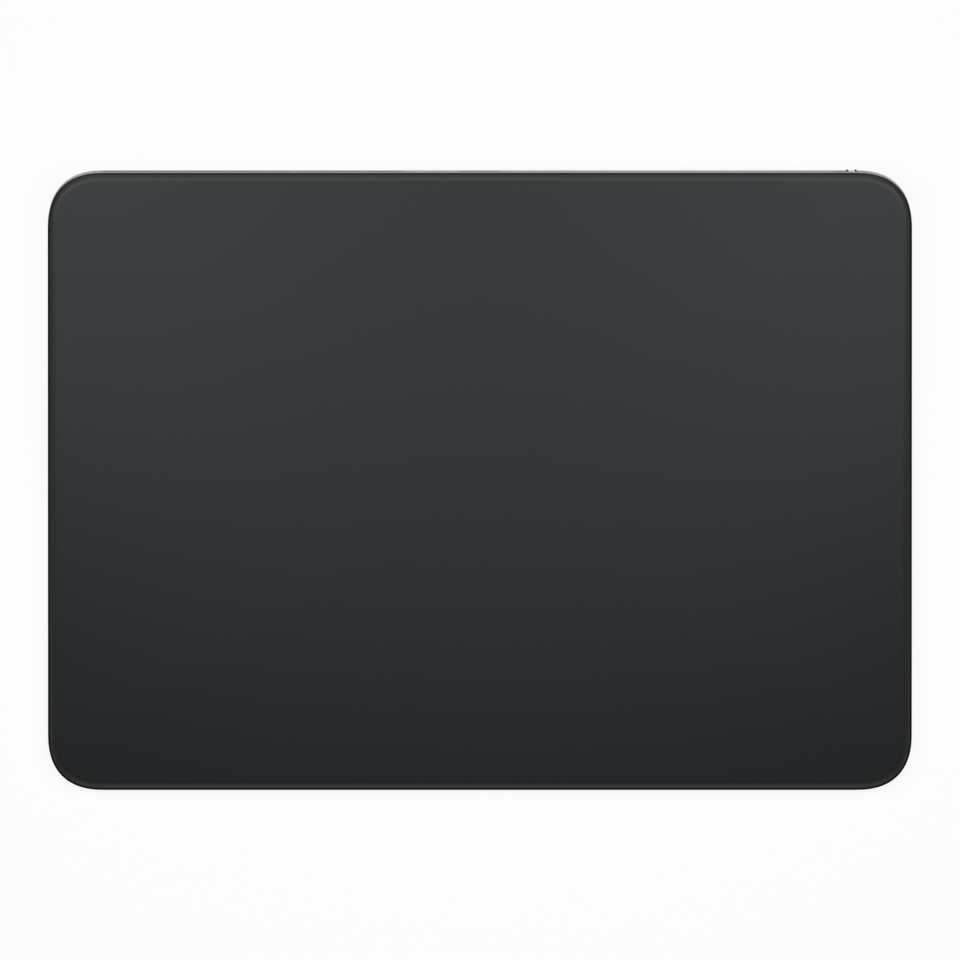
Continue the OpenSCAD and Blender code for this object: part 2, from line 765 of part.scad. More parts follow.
module housing() {
    color("#c9cbcd") difference() {
        union() {
            difference() {
                on_glass() housing_body();
                on_glass() slab(web_level, rim_level + over) sensor_outline(0);
                on_glass() slab(roof_level - 2 * rear_h, roof_level)
                    rounded_rect(2 * inner_x, 2 * inner_v, inner_r);
                translate([0, base_y, 0]) slab(base_z - over, ledge_z)
                    rounded_rect(recess_w, recess_d, cover_r);
            }
            housing_bosses();
        }
        housing_threads();
        on_glass() {
            slab(roof_level - over, web_level + over) sensor_slot();
            in_wall(0, socket_level, inner_v - over, half_v + over) stadium(port_w, port_h);
            in_wall(window_mid_x, socket_level, inner_v - over, half_v + over)
                stadium(window_l, window_h);
            in_wall(switch_x, socket_level, inner_v - over, half_v + over)
                rounded_rect(switch_slot_l, switch_slot_h, switch_slot_r);
            in_wall(switch_x, socket_level, inner_v - over, pocket_v)
                square([2 * pocket_half_w, 2 * pocket_half_h], center = true);
        }
    }
}

module antenna_window() {
    color("#9b9da0") on_glass() {
        in_wall(window_mid_x, socket_level, inner_v, half_v)
            stadium(window_l - 2 * window_gap, window_h - 2 * window_gap);
        in_wall(window_mid_x, socket_level, film_v1, inner_v)
            stadium(window_l + 2 * window_flange_w, window_h + 2 * window_flange_w);
    }
}

module antenna() {
    color("#c07a1c") on_glass() {
        block([window_mid_x - antenna_l / 2, film_v0, socket_level - antenna_h / 2],
              [window_mid_x + antenna_l / 2, film_v1, socket_level + antenna_h / 2]);
        block([window_mid_x - antenna_tail_w / 2, board_v1 - antenna_tail_lap, board_bottom - flex_t],
              [window_mid_x + antenna_tail_w / 2, film_v1, board_bottom]);
    }
}

module logic_board() {
    color("#14432c") on_glass() difference() {
        block([-board_w / 2, board_v0, board_bottom], [board_w / 2, board_v1, board_top]);
        translate([0, 0, board_bottom]) {
            at_board_screws() screw_hole(board_t);
            at_bracket_screws() screw_hole(board_t);
        }
    }
}

// A chip soldered under the logic board
module chip(x, v, w, d, h) {
    block([x - w / 2, v - d / 2, board_bottom - h], [x + w / 2, v + d / 2, board_bottom]);
}

module logic_chips() {
    color("#202225") on_glass() {
        for (s = sides) chip(can_mid_x + s * can_w / 4, can_v, can_w / 4, can_w / 4, chip_h);
        for (k = [0:1])
            chip(board_screw_x + main_chip_x + main_chip_pitch * k, board_mid_v,
                 main_chip_w, main_chip_w, chip_h);
        for (s = sides)
            chip(s * (board_screw_x - small_chip_x), board_mid_v - screw_head_d / 2,
                 small_chip_w, small_chip_w, chip_h);
    }
}

module logic_passives() {
    color("#b9a384") on_glass() {
        for (s = sides) for (k = [-1:1]) for (row = [0:1])
            chip(s * board_screw_x + k * passive_pitch,
                 board_v0 + passive_inset + row * passive_pitch, passive_l, passive_w, passive_h);
        for (v = [board_v0 + passive_inset, board_v1 - passive_inset]) for (k = [-2:2])
            chip(board_screw_x + main_chip_x + main_chip_pitch / 2 + k * passive_pitch, v,
                 passive_l, passive_w, passive_h);
    }
}

module shield_can() {
    color("#b4b7ba") on_glass() difference() {
        chip(can_mid_x, can_v, can_w, can_d, can_h);
        translate([0, 0, can_t]) chip(can_mid_x, can_v, can_w - 2 * can_t, can_d - 2 * can_t, can_h);
    }
}

// A connector on the upper face of the logic board, under a flat cable
module top_connector(x0, x1) {
    block([x0 - connector_margin, connector_v0, board_top],
          [x1 + connector_margin, connector_v1, flex_under]);
}

module board_connectors() {
    color("#e6e2d6") on_glass() {
        top_connector(-sensor_flex_w / 2, sensor_flex_w / 2);
        top_connector(haptic_port_x, haptic_port_end);
        top_connector(force_port_x, force_port_end);
        top_connector(-force_port_end, -force_port_x);
        chip(guard_x, (connector_v0 + connector_v1) / 2, 3 * wire_pitch + 2 * connector_margin,
             connector_d, battery_connector_h);
    }
}

module board_screws() {
    on_glass() {
        translate([0, 0, board_bottom]) at_board_screws() screw(board_t);
        translate([0, 0, board_top - flange_t]) at_flange_screws() screw(flange_t);
    }
}

module battery_cell() {
    color("#3a3d42") on_glass() translate([battery_x, battery_mid_v, 0])
        slab(battery_top - battery_t, battery_top) rounded_rect(battery_w, battery_d, battery_r);
}

module battery_tape() {
    color("#e8e8e8") on_glass() {
        translate([battery_x, battery_mid_v, 0]) slab(battery_top, roof_level)
            square([battery_w - 2 * battery_tape_inset, battery_d - 2 * battery_tape_inset], center = true);
        translate([guard_x, battery_mid_v, 0]) slab(battery_top, roof_level)
            square([guard_w, guard_l], center = true);
    }
}

module battery_board() {
    color("#1d5a34") on_glass() translate([guard_x, battery_mid_v, 0])
        slab(guard_bottom, battery_top) square([guard_w, guard_l], center = true);
}

module battery_lead() {
    color("#a02020") on_glass() for (k = [-1:1]) translate([guard_x + k * wire_pitch, 0, 0]) {
        block([-wire_w / 2, guard_v1 - wire_lap, guard_bottom - wire_t], [wire_w / 2, wire_v1, guard_bottom]);
        block([-wire_w / 2, wire_v1 - wire_t, wire_level - wire_t], [wire_w / 2, wire_v1, guard_bottom]);
        block([-wire_w / 2, wire_v1 - wire_t, wire_level - wire_t], [wire_w / 2, connector_v0, wire_level]);
    }
}

module charge_socket_shell() {
    color("#a9acb0") on_glass() in_wall(0, socket_level, socket_v0, socket_v1) difference() {
        stadium(socket_w, socket_h);
        stadium(cavity_w, cavity_h);
    }
}

module charge_socket_insulator() {
    color("#1b1c1e") on_glass() {
        in_wall(0, socket_level, socket_v0, tongue_v0) stadium(insulator_w, insulator_h);
        block([-tongue_w / 2, tongue_v0 - insulator_l / 2, tongue_level],
              [tongue_w / 2, tongue_v1, tongue_level + tongue_t]);
    }
}

module charge_socket_contacts() {
    color("#d4af37") on_glass() for (k = [0:contact_n - 1])
        translate([(k - (contact_n - 1) / 2) * contact_pitch, 0, tongue_level + tongue_t])
            block([-contact_w / 2, tongue_v0, 0], [contact_w / 2, tongue_v1 - contact_tip, contact_t]);
}

module socket_bracket() {
    bottom = socket_level - socket_h / 2;
    v0 = bracket_v1 - bracket_d;
    color("#8f9397") on_glass() difference() {
        union() {
            block([-bracket_leg_x - bracket_t, v0, bottom - bracket_t],
                  [bracket_leg_x + bracket_t, bracket_v1, bottom]);
            for (s = sides) {
                translate([s * (bracket_leg_x + bracket_t / 2), 0, 0])
                    block([-bracket_t / 2, v0, bottom - bracket_t],
                          [bracket_t / 2, bracket_v1, board_bottom]);
                translate([s * (bracket_leg_x + bracket_ear_x) / 2, 0, 0])
                    block([(bracket_leg_x - bracket_ear_x) / 2, v0, board_bottom - bracket_t],
                          [(bracket_ear_x - bracket_leg_x) / 2, bracket_v1, board_bottom]);
            }
        }
        translate([0, 0, board_bottom - bracket_t]) at_bracket_screws() screw_hole(bracket_t);
    }
}

module bracket_screws() {
    on_glass() translate([0, 0, board_bottom - bracket_t])
        at_bracket_screws() screw(board_t + bracket_t);
}

module switch_body() {
    color("#26282b") on_glass() difference() {
        union() {
            block([switch_x - switch_half_w, switch_v0, socket_level - switch_half_h],
                  [switch_x + switch_half_w, switch_v1, socket_level + switch_half_h]);
            block([switch_x - switch_half_w, flange_v0, board_top - flange_t],
                  [switch_x + switch_half_w, inner_v - slider_room, board_top]);
            block([switch_x - switch_half_w, switch_v0, socket_level],
                  [switch_x + switch_half_w, inner_v - slider_room, board_top - flange_t / 2]);
        }
        block([knob_far_x - stem_w / 2 - stem_gap, switch_v1 - stem_l, socket_level - stem_w / 2 - stem_gap],
              [knob_x + stem_w / 2 + stem_gap, switch_v1 + over, socket_level + stem_w / 2 + stem_gap]);
        translate([0, 0, board_top - flange_t]) at_flange_screws() screw_hole(flange_t);
    }
}

module switch_flex() {
    color("#b8741a") on_glass()
        block([board_w / 2 - switch_flex_lap, switch_v0 + flex_t, board_bottom - flex_t],
              [switch_x - switch_half_w, switch_v0 + flex_t + switch_flex_w, board_bottom]);
}

module switch_knob() {
    half_h = switch_slot_h / 2 - knob_gap;
    face_v = half_v + knob_proud;
    stem_v0 = slider_v0 - stem_l + stem_gap;
    color("#d2d4d6") on_glass() {
        difference() {
            in_wall(knob_x, socket_level, slider_v0, face_v)
                rounded_rect(knob_w, 2 * half_h, switch_slot_r - knob_gap);
            translate([knob_x, face_v - knob_dip + dip_r, socket_level - half_h - over])
                cylinder(r = dip_r, h = 2 * half_h + 2 * over);
        }
        block([knob_x - slider_half_w, slider_v0, socket_level - slider_half_h],
              [knob_x + slider_half_w, slider_v1, socket_level + slider_half_h]);
        block([knob_x - stem_w / 2, stem_v0, socket_level - stem_w / 2],
              [knob_x + stem_w / 2, slider_v1, socket_level + stem_w / 2]);
    }
}

module haptic_frame() {
    color("#9a9da1") on_glass() difference() {
        union() {
            block([-haptic_w / 2, haptic_v0, frame_bottom], [haptic_w / 2, haptic_v1, frame_top]);
            for (sx = sides) for (sv = sides)
                translate([sx * ear_screw_x, haptic_v + sv * ear_at, 0])
                    block([-ear_w / 2, -ear_d / 2, ear_bottom], [ear_w / 2, ear_d / 2, ear_top]);
        }
        block([-frame_inner_x, haptic_v0 + frame_wall_t, frame_bottom - over],
              [frame_inner_x, haptic_v1 - frame_wall_t, frame_base_level]);
        block([0, haptic_v - haptic_flex_w, frame_base_level - flex_t - slot_gap],
              [haptic_w / 2 + over, haptic_v + haptic_flex_w, frame_base_level]);
        translate([0, 0, ear_bottom]) at_ears() screw_hole(ear_t);
    }
}

module at_coils() {
    for (s = sides) translate([s * coil_x, haptic_v, 0]) children();
}

module haptic_coils() {
    color("#b5652a") on_glass() at_coils() slab(coil_level, frame_base_level) difference() {
        rounded_rect(coil_w, coil_d, coil_r);
        square([coil_w - 2 * coil_band, coil_d - 2 * coil_band], center = true);
    }
}

module haptic_cores() {
    inset = 2 * coil_band + 2 * core_gap;
    color("#6d7074") on_glass() at_coils()
        slab(coil_level, frame_base_level) square([coil_w - inset, coil_d - inset], center = true);
}

module haptic_mass() {
    color("#77797c") on_glass() slab(mass_bottom, mass_top) difference() {
        translate([0, haptic_v]) square([mass_w, mass_d], center = true);
        for (s = sides) translate([s * coil_x, haptic_v])
            square([magnet_w, magnet_d], center = true);
    }
}

module haptic_magnets() {
    color("#c4c6c8") on_glass() at_coils() slab(mass_bottom, mass_top)
        square([magnet_w - 2 * magnet_gap, magnet_d - 2 * magnet_gap], center = true);
}

module haptic_springs() {
    leaf_x = mass_w / 2 + leaf_gap;
    color("#a7aaad") on_glass() for (turn = [0, 180])
        translate([0, haptic_v, 0]) rotate([0, 0, turn]) {
            block([leaf_x, -leaf_l / 2, mass_bottom], [leaf_x + leaf_t, leaf_l / 2, mass_top]);
            block([leaf_x, leaf_l / 2 - leaf_pad, mass_bottom], [frame_inner_x, leaf_l / 2, mass_top]);
            block([mass_w / 2, -leaf_l / 2, mass_bottom], [leaf_x + leaf_t, leaf_pad - leaf_l / 2, mass_top]);
        }
}

module haptic_flex() {
    half = haptic_flex_w / 2;
    riser_x = haptic_w / 2 + haptic_riser_gap;
    inner_level = frame_base_level - flex_t;
    color("#b8741a") on_glass() {
        block([coil_x + coil_w / 2, haptic_v - half, inner_level],
              [riser_x, haptic_v + half, frame_base_level]);
        block([riser_x - flex_t, haptic_v - half, inner_level], [riser_x, haptic_v + half, roof_level]);
        block([riser_x - flex_t, haptic_v - half, flex_under],
              [haptic_lane_end, haptic_v + half, roof_level]);
        block([haptic_lane_x, haptic_v - half, flex_under],
              [haptic_lane_end, jog_v + half, roof_level]);
        block([min(haptic_port_x, haptic_lane_x), jog_v - half, flex_under],
              [max(haptic_port_end, haptic_lane_end), jog_v + half, roof_level]);
        block([haptic_port_x, jog_v - half, flex_under],
              [haptic_port_end, connector_v1, roof_level]);
        block([-coil_x + coil_w / 2, haptic_v - half, inner_level],
              [coil_x - coil_w / 2, haptic_v + half, frame_base_level]);
    }
}

module haptic_screws() {
    on_glass() translate([0, 0, ear_bottom]) at_ears() screw(ear_t);
}

module flexure(i) {
    color("#9fa3a7") difference() {
        translate([corner_side_x[i] * foot_x, corner_side_y[i] * (flexure_root_y + flexure_tip_y) / 2, 0])
            slab(flexure_z0, flexure_z1) square([flexure_w, flexure_l], center = true);
        translate([0, 0, flexure_z0]) at_clamps(i) screw_hole(flexure_t);
    }
}

module flexure_screws() {
    for (i = corner_ids) translate([0, 0, flexure_z0]) at_clamps(i) screw(flexure_t);
}

module strain_gauges() {
    color("#c98a2b") for (i = corner_ids)
        translate([corner_side_x[i] * foot_x, corner_side_y[i] * gauge_y, 0])
            slab(flexure_z1, gauge_top) square([gauge_w, gauge_l], center = true);
}

module force_flex() {
    front_v = slope_v(-gauge_y, roof_level);
    rear_v = slope_v(gauge_y, roof_level);
    color("#b8741a") for (s = sides) {
        on_glass() {
            side_block(s, force_lane_x, force_lane_end,
                       [front_v - force_branch_w / 2, flex_under], [connector_v1, roof_level]);
            side_block(s, min(force_port_x, force_lane_x), max(force_port_end, force_lane_end),
                       [connector_v0, flex_under], [connector_v1, roof_level]);
            for (v = [front_v, rear_v])
                side_block(s, force_lane_x, foot_x + gauge_w / 2,
                           [v - force_branch_w / 2, flex_under], [v + force_branch_w / 2, roof_level]);
        }
        for (sy = sides) translate([s * foot_x, sy * gauge_y, 0])
            block([-gauge_w / 2, -flex_t / 2, gauge_top],
                  [gauge_w / 2, flex_t / 2, roof_z(sy * gauge_y) - flex_t / 2]);
    }
}

module bottom_cover() {
    color("#c3c5c7") difference() {
        translate([0, base_y, 0]) slab(base_z, cover_top)
            rounded_rect(recess_w - 2 * cover_gap, recess_d - 2 * cover_gap, cover_r - cover_gap);
        for (i = corner_ids) at_foot(i)
            translate([0, 0, base_z - over]) cylinder(d = foot_d + 2 * foot_gap, h = cover_t + 2 * over);
    }
}

module cover_gasket() {
    inner = cover_gap + gasket_w;
    color("#4a4c4f") translate([0, base_y, 0]) slab(cover_top, ledge_z) difference() {
        rounded_rect(recess_w - 2 * cover_gap, recess_d - 2 * cover_gap, cover_r - cover_gap);
        rounded_rect(recess_w - 2 * inner, recess_d - 2 * inner, cover_r - inner);
    }
}

module foot_plunger(i) {
    color("#d0d0cc") at_foot(i) translate([0, 0, foot_h]) cylinder(d = plunger_d, h = flexure_z0 - foot_h);
}

module foot_pad(i) {
    color("#8d9093") at_foot(i) cylinder(d = foot_d, h = foot_h);
}

touch_glass();
glass_bond();
touch_sensor_board();
sensor_tape();
sensor_flex();
housing();
antenna_window();
antenna();
logic_board();
logic_chips();
logic_passives();
shield_can();
board_connectors();
board_screws();
battery_cell();
battery_board();
battery_tape();
battery_lead();
charge_socket_shell();
charge_socket_insulator();
charge_socket_contacts();
socket_bracket();
bracket_screws();
switch_body();
switch_flex();
switch_knob();
haptic_frame();
haptic_cores();
haptic_coils();
haptic_springs();
haptic_mass();
haptic_magnets();
haptic_flex();
haptic_screws();
strain_gauges();
flexure_screws();
force_flex();
bottom_cover();
cover_gasket();
for (i = corner_ids) {
    flexure(i);
    foot_plunger(i);
    foot_pad(i);
}
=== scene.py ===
import json
import math
from collections import namedtuple

import bmesh
import bpy
from mathutils import Matrix, Vector

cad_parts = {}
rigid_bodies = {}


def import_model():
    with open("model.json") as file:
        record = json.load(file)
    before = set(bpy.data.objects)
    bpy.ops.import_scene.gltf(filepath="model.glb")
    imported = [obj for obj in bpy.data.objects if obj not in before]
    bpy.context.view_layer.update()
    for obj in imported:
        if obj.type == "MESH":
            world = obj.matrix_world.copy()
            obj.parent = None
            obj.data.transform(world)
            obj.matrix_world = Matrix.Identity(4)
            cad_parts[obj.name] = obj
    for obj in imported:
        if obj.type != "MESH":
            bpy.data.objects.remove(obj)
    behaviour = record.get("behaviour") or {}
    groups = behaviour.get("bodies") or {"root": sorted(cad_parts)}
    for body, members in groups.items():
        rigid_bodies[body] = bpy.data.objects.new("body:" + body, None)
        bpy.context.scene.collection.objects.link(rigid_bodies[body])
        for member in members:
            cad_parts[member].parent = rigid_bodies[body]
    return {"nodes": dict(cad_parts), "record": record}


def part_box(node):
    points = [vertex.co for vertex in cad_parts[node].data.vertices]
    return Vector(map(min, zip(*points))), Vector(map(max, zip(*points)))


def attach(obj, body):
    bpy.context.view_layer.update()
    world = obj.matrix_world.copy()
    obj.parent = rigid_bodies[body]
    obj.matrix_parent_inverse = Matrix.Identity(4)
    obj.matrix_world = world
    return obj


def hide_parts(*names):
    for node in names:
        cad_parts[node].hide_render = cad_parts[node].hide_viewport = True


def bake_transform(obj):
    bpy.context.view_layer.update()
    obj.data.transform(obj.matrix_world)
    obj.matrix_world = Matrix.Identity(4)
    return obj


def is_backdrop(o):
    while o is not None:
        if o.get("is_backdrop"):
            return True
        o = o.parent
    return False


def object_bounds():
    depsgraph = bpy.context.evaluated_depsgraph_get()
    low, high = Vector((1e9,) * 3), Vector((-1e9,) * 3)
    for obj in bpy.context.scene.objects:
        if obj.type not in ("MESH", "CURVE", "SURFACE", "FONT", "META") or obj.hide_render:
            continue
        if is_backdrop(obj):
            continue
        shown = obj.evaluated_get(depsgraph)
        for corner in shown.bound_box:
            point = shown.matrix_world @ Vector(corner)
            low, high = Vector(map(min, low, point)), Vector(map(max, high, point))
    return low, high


# The scene starts empty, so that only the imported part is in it.
for leftover in list(bpy.data.objects):
    bpy.data.objects.remove(leftover)
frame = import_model()
cad_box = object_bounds()
mm = 0.001


# Camera: a long lens straight above the middle, with the rear edge at the top of the picture.
# The picture's 960 pixels span PICTURE of the desk.
PICTURE = 177.77 * mm
SIDE_STEP = 0.02 * mm
LENS = 1650.0
SENSOR = 36.0
FAR_CLIP = 20.0


def put(name, data):
    """A new object in the scene."""
    thing = bpy.data.objects.new(name, data)
    bpy.context.scene.collection.objects.link(thing)
    return thing


camera_data = bpy.data.cameras.new("camera")
camera_data.lens = LENS
camera_data.sensor_width = SENSOR
camera_data.clip_end = FAR_CLIP
camera = put("camera", camera_data)
glass_level = sum(corner.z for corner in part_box("touch_glass")) / 2
camera.location = (SIDE_STEP, 0.0, glass_level + PICTURE * LENS / SENSOR)
bpy.context.scene.camera = camera
bpy.context.scene.view_settings.view_transform = "Standard"


# Studio: a white sweep of floor, a white room, soft boxes overhead and weak panels round them.
# The floor shows white to the lens and in reflections, and keeps a faint shadow of the part.
WHITE = (1.0, 1.0, 1.0, 1.0)
FLOOR_HALF = 3.0
FLOOR_COLOUR = (0.97, 0.97, 0.97, 1.0)
FLOOR_GLOW = 0.88
ROOM_LIGHT = 0.2


class Wire:
    """A node's socket, on which Python's operators add Math nodes to its tree."""

    def __init__(self, tree, socket=None):
        self.tree = tree
        self.socket = socket

    def add(self, kind, settings=None, sockets=None, out=0):
        """A new node of the tree: first its settings, then the values or links of its sockets."""
        node = self.tree.nodes.new(kind)
        for name, value in (settings or {}).items():
            setattr(node, name, value)
        for name, value in (sockets or {}).items():
            if isinstance(value, Wire):
                self.tree.links.new(value.socket, node.inputs[name])
            else:
                node.inputs[name].default_value = value
        return Wire(self.tree, node.outputs[out])

    def math(self, operation, *values):
        """A Math node on this value and others."""
        return self.add("ShaderNodeMath", {"operation": operation}, dict(enumerate((self, *values))))

    def __add__(self, other):
        return self.math("ADD", other)

    def __sub__(self, other):
        return self.math("SUBTRACT", other)

    def __rsub__(self, other):
        return self * -1.0 + other

    def __mul__(self, other):
        return self.math("MULTIPLY", other)

    def __truediv__(self, other):
        return self.math("DIVIDE", other)

    def __rtruediv__(self, other):
        return self.math("POWER", -1.0) * other

    def __pow__(self, other):
        return self.math("POWER", other)

    def __gt__(self, other):
        return self.math("GREATER_THAN", other)

    def __lt__(self, other):
        return self.math("LESS_THAN", other)

    def __mod__(self, other):
        return self.math("FLOORED_MODULO", other)

    __radd__ = __add__
    __rmul__ = __mul__


def seen_as_background(tree):
    """One for the rays of the lens, of reflections and of clear pieces, and zero for the rest."""
    lens, mirrored, clear = (Wire(tree).add("ShaderNodeLightPath", out=name)
                             for name in ("Is Camera Ray", "Is Glossy Ray", "Is Transmission Ray"))
    return (lens + mirrored + clear).math("MINIMUM", 1.0)


def show(shader):
    """Makes a shader the one that its material shows."""
    output = shader.tree.nodes["Material Output"]
    shader.tree.links.new(shader.socket, output.inputs["Surface"])


floor_paint = bpy.data.materials.new("studio_floor")
floor_paint.use_nodes = True
floor_nodes = floor_paint.node_tree.nodes
floor_nodes.remove(floor_nodes["Principled BSDF"])
floor_seen = seen_as_background(floor_paint.node_tree)
floor_matte = floor_seen.add("ShaderNodeBsdfDiffuse", sockets={"Color": FLOOR_COLOUR})
floor_glow = floor_seen.add("ShaderNodeEmission", sockets={"Color": WHITE, "Strength": 1.0})
show(floor_seen.add("ShaderNodeMixShader",
                    sockets={0: floor_seen * FLOOR_GLOW, 1: floor_matte, 2: floor_glow}))
floor_mesh = bpy.data.meshes.new("studio_floor")
floor_mesh.from_pydata([(sx * FLOOR_HALF, sy * FLOOR_HALF, 0.0)
                        for sx, sy in ((-1, -1), (1, -1), (1, 1), (-1, 1))], [], [(0, 1, 2, 3)])
floor_mesh.materials.append(floor_paint)
floor = put("studio_floor", floor_mesh)
floor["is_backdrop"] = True

room = bpy.data.worlds.new("studio_room")
bpy.context.scene.world = room
room.use_nodes = True
room_back = room.node_tree.nodes["Background"]
room_back.inputs["Color"].default_value = FLOOR_COLOUR
room_light = ROOM_LIGHT + seen_as_background(room.node_tree) * (1.0 - ROOM_LIGHT)
room.node_tree.links.new(room_light.socket, room_back.inputs["Strength"])

# Each lamp has a name, a place, a width, a depth, a glow, and a lean and a turn in degrees.
for name, place, wide, deep, glow, lean, turn in (
        ("left_box", (-0.12, 0.038, 0.392), 0.175, 0.115, 4.75, 0.0, -29.0),
        ("left_panel", (-0.21, -0.02, 0.6), 0.13, 0.36, 0.5, 0.0, 0.0),
        ("right_box", (0.12, 0.038, 0.392), 0.175, 0.115, 4.75, 0.0, 29.0),
        ("right_panel", (0.21, -0.02, 0.6), 0.13, 0.36, 0.5, 0.0, 0.0),
        ("middle_box", (0.0, -0.015, 0.392), 0.138, 0.134, 2.7, 0.0, 0.0),
        ("rear_box", (0.0, 0.16, 1.0), 0.4, 0.24, 5.5, -6.0, 0.0),
        ("rear_panel", (0.0, 0.3, 0.6), 0.5, 0.3, 0.65, -25.0, 0.0),
        ("front_panel", (0.0, -0.35, 0.6), 0.4, 0.26, 1.15, 0.0, 0.0)):
    lamp_data = bpy.data.lights.new(name, "AREA")
    lamp_data.shape = "RECTANGLE"
    lamp_data.size = wide
    lamp_data.size_y = deep
    lamp_data.energy = glow * math.pi * wide * deep
    lamp = put(name, lamp_data)
    lamp.matrix_world = (Matrix.Translation(place) @ Matrix.Rotation(math.radians(turn), 4, "Z")
                         @ Matrix.Rotation(math.radians(lean), 4, "X"))
    lamp.visible_camera = False


# Housing: one block of aluminium, milled out from below, bead-blasted and clear anodised.
# Its walls stand square to the sloping glass, and bosses under its web carry the screws.
slope_axis = Vector(next(mount["axis"] for mount in frame["record"]["mounts"]
                         if mount["name"] == "charging_socket"))
tilt = math.atan2(slope_axis.z, slope_axis.y)
on_slope = Matrix.Rotation(tilt, 4, "X")
off_slope = on_slope.inverted()
upright = Matrix()

SAME_SPOT = 1e-7
SLIVER = 1e-6
CORNER_STEPS = 24
LOW_STEPS = 8
EDGE_STEPS = 16
CREASE_ANGLE = math.radians(35.0)
BODY_EDGE_TINT = (0.25, 0.25, 0.26, 1.0)
# Painted shade for the faces inside the openings of the rear wall.
RECESS_SHADE_COLOUR = (0.16, 0.16, 0.165)
FACING_OUT = 0.85
WALL = 3.0 * mm
WALL_CORNER = 5.0 * mm
CORNER_REACH = 10.65 * mm
CORNER_POWER = 2.47
FOOT_RADIUS = 1.0 * mm
RIM_BREAK = 0.12 * mm
REAR_TRIM = 0.07 * mm
SENSOR_PLAY = 0.25 * mm
SENSOR_CORNER = 5.5 * mm
COVER_PLAY = 0.15 * mm
COVER_CORNER = 7.5 * mm
PORT_PLAY = 0.1 * mm
PORT_BREAK = 0.08 * mm
WINDOW_FLANGE = 0.8 * mm
WINDOW_PLAY = 0.05 * mm
SLOT_LENGTH = 4.45 * mm
SLOT_HEIGHT = 2.0 * mm
SLOT_CORNER = 0.5 * mm
SLOT_BREAK = 0.1 * mm
SWITCH_SKIN = 1.2 * mm
SWITCH_ROOM = 0.15 * mm
POCKET_HEIGHT = 3.3 * mm
POCKET_CORNER = 0.3 * mm
CABLE_LENGTH = 16.8 * mm
CABLE_ROOM = 0.95 * mm
CABLE_OFFSET = 0.075 * mm
SCREW_BITE = 1.2 * mm
SCREW_RADIUS = 0.7 * mm
THREAD_ROOM = 0.05 * mm
BOSS_ROOT = 0.35 * mm
BOSSES = (("board_screws", 1.8 * mm, on_slope), ("bracket_screws", 1.8 * mm, on_slope),
          ("haptic_screws", 2.0 * mm, on_slope), ("flexure_screws", 2.3 * mm, upright))
OVER = 1.0 * mm

Extent = namedtuple("Extent", "low high size middle")


def extent_of(points):
    """The lowest and highest corner, the size and the middle of a box round some points."""
    low, high = (Vector(map(pick, zip(*points))) for pick in (min, max))
    return Extent(low, high, high - low, (low + high) / 2)


def slope_box(node):
    """The box of a CAD node across, along the slope and square to it."""
    return extent_of([off_slope @ vertex.co for vertex in frame["nodes"][node].data.vertices])


def level_box(node):
    """The box of a CAD node as it stands on the desk."""
    return extent_of(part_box(node))


def opened(mesh):
    """A mesh opened for work, with its doubles merged."""
    skin = bmesh.new()
    skin.from_mesh(mesh)
    bmesh.ops.remove_doubles(skin, verts=skin.verts, dist=SAME_SPOT)
    return skin


def stored(skin, mesh):
    """Puts what was worked on back into its mesh."""
    skin.to_mesh(mesh)
    skin.free()
    return mesh


def islands(node, turn=off_slope):
    """The boxes of the separate solids of a CAD node, after its points are turned."""
    solid = opened(frame["nodes"][node].data)
    boxes = []
    waiting = set(solid.verts)
    while waiting:
        edge_of = [waiting.pop()]
        group = []
        while edge_of:
            vertex = edge_of.pop()
            group.append(turn @ vertex.co)
            near = {edge.other_vert(vertex) for edge in vertex.link_edges} & waiting
            waiting -= near
            edge_of.extend(near)
        boxes.append(extent_of(group))
    solid.free()
    return sorted(boxes, key=lambda box: tuple(box.low))


def outward(mesh):
    """The mesh with its doubles merged and its faces pointing outwards."""
    skin = opened(mesh)
    bmesh.ops.dissolve_degenerate(skin, edges=skin.edges, dist=SAME_SPOT / 10)
    bmesh.ops.recalc_face_normals(skin, faces=skin.faces)
    return stored(skin, mesh)


def settled(holder):
    """The plain mesh that an object's modifiers make. The object is used up."""
    made = holder.evaluated_get(bpy.context.evaluated_depsgraph_get())
    mesh = bpy.data.meshes.new_from_object(made)
    holder.modifiers.clear()
    bpy.data.objects.remove(holder)
    return mesh


def new_tree(name, *sizes):
    """An empty Geometry Nodes tree with inputs for its points, each size and the finish."""
    tree = bpy.data.node_groups.new(name, "GeometryNodeTree")
    tree.interface.new_socket(name="Geometry", in_out="OUTPUT", socket_type="NodeSocketGeometry")
    kinds = {"Points": "NodeSocketGeometry", **dict.fromkeys(sizes, "NodeSocketFloat"),
             "Finish": "NodeSocketMaterial"}
    for label, kind in kinds.items():
        tree.interface.new_socket(name=label, in_out="INPUT", socket_type=kind)
    inputs = tree.nodes.new("NodeGroupInput")
    return Wire(tree), {label: Wire(tree, inputs.outputs[label]) for label in kinds}


def close_tree(shape, size, on_points=True):
    """Ends a tree: its shape is set on the points, made real and given the finish."""
    if on_points:
        shape = shape.add("GeometryNodeInstanceOnPoints",
                          sockets={"Points": size["Points"], "Instance": shape})
    real = shape.add("GeometryNodeRealizeInstances", sockets={"Geometry": shape})
    done = shape.add("GeometryNodeSetMaterial", sockets={"Geometry": real, "Material": size["Finish"]})
    output = shape.tree.nodes.new("NodeGroupOutput")
    shape.tree.links.new(done.socket, output.inputs["Geometry"])
    return shape.tree


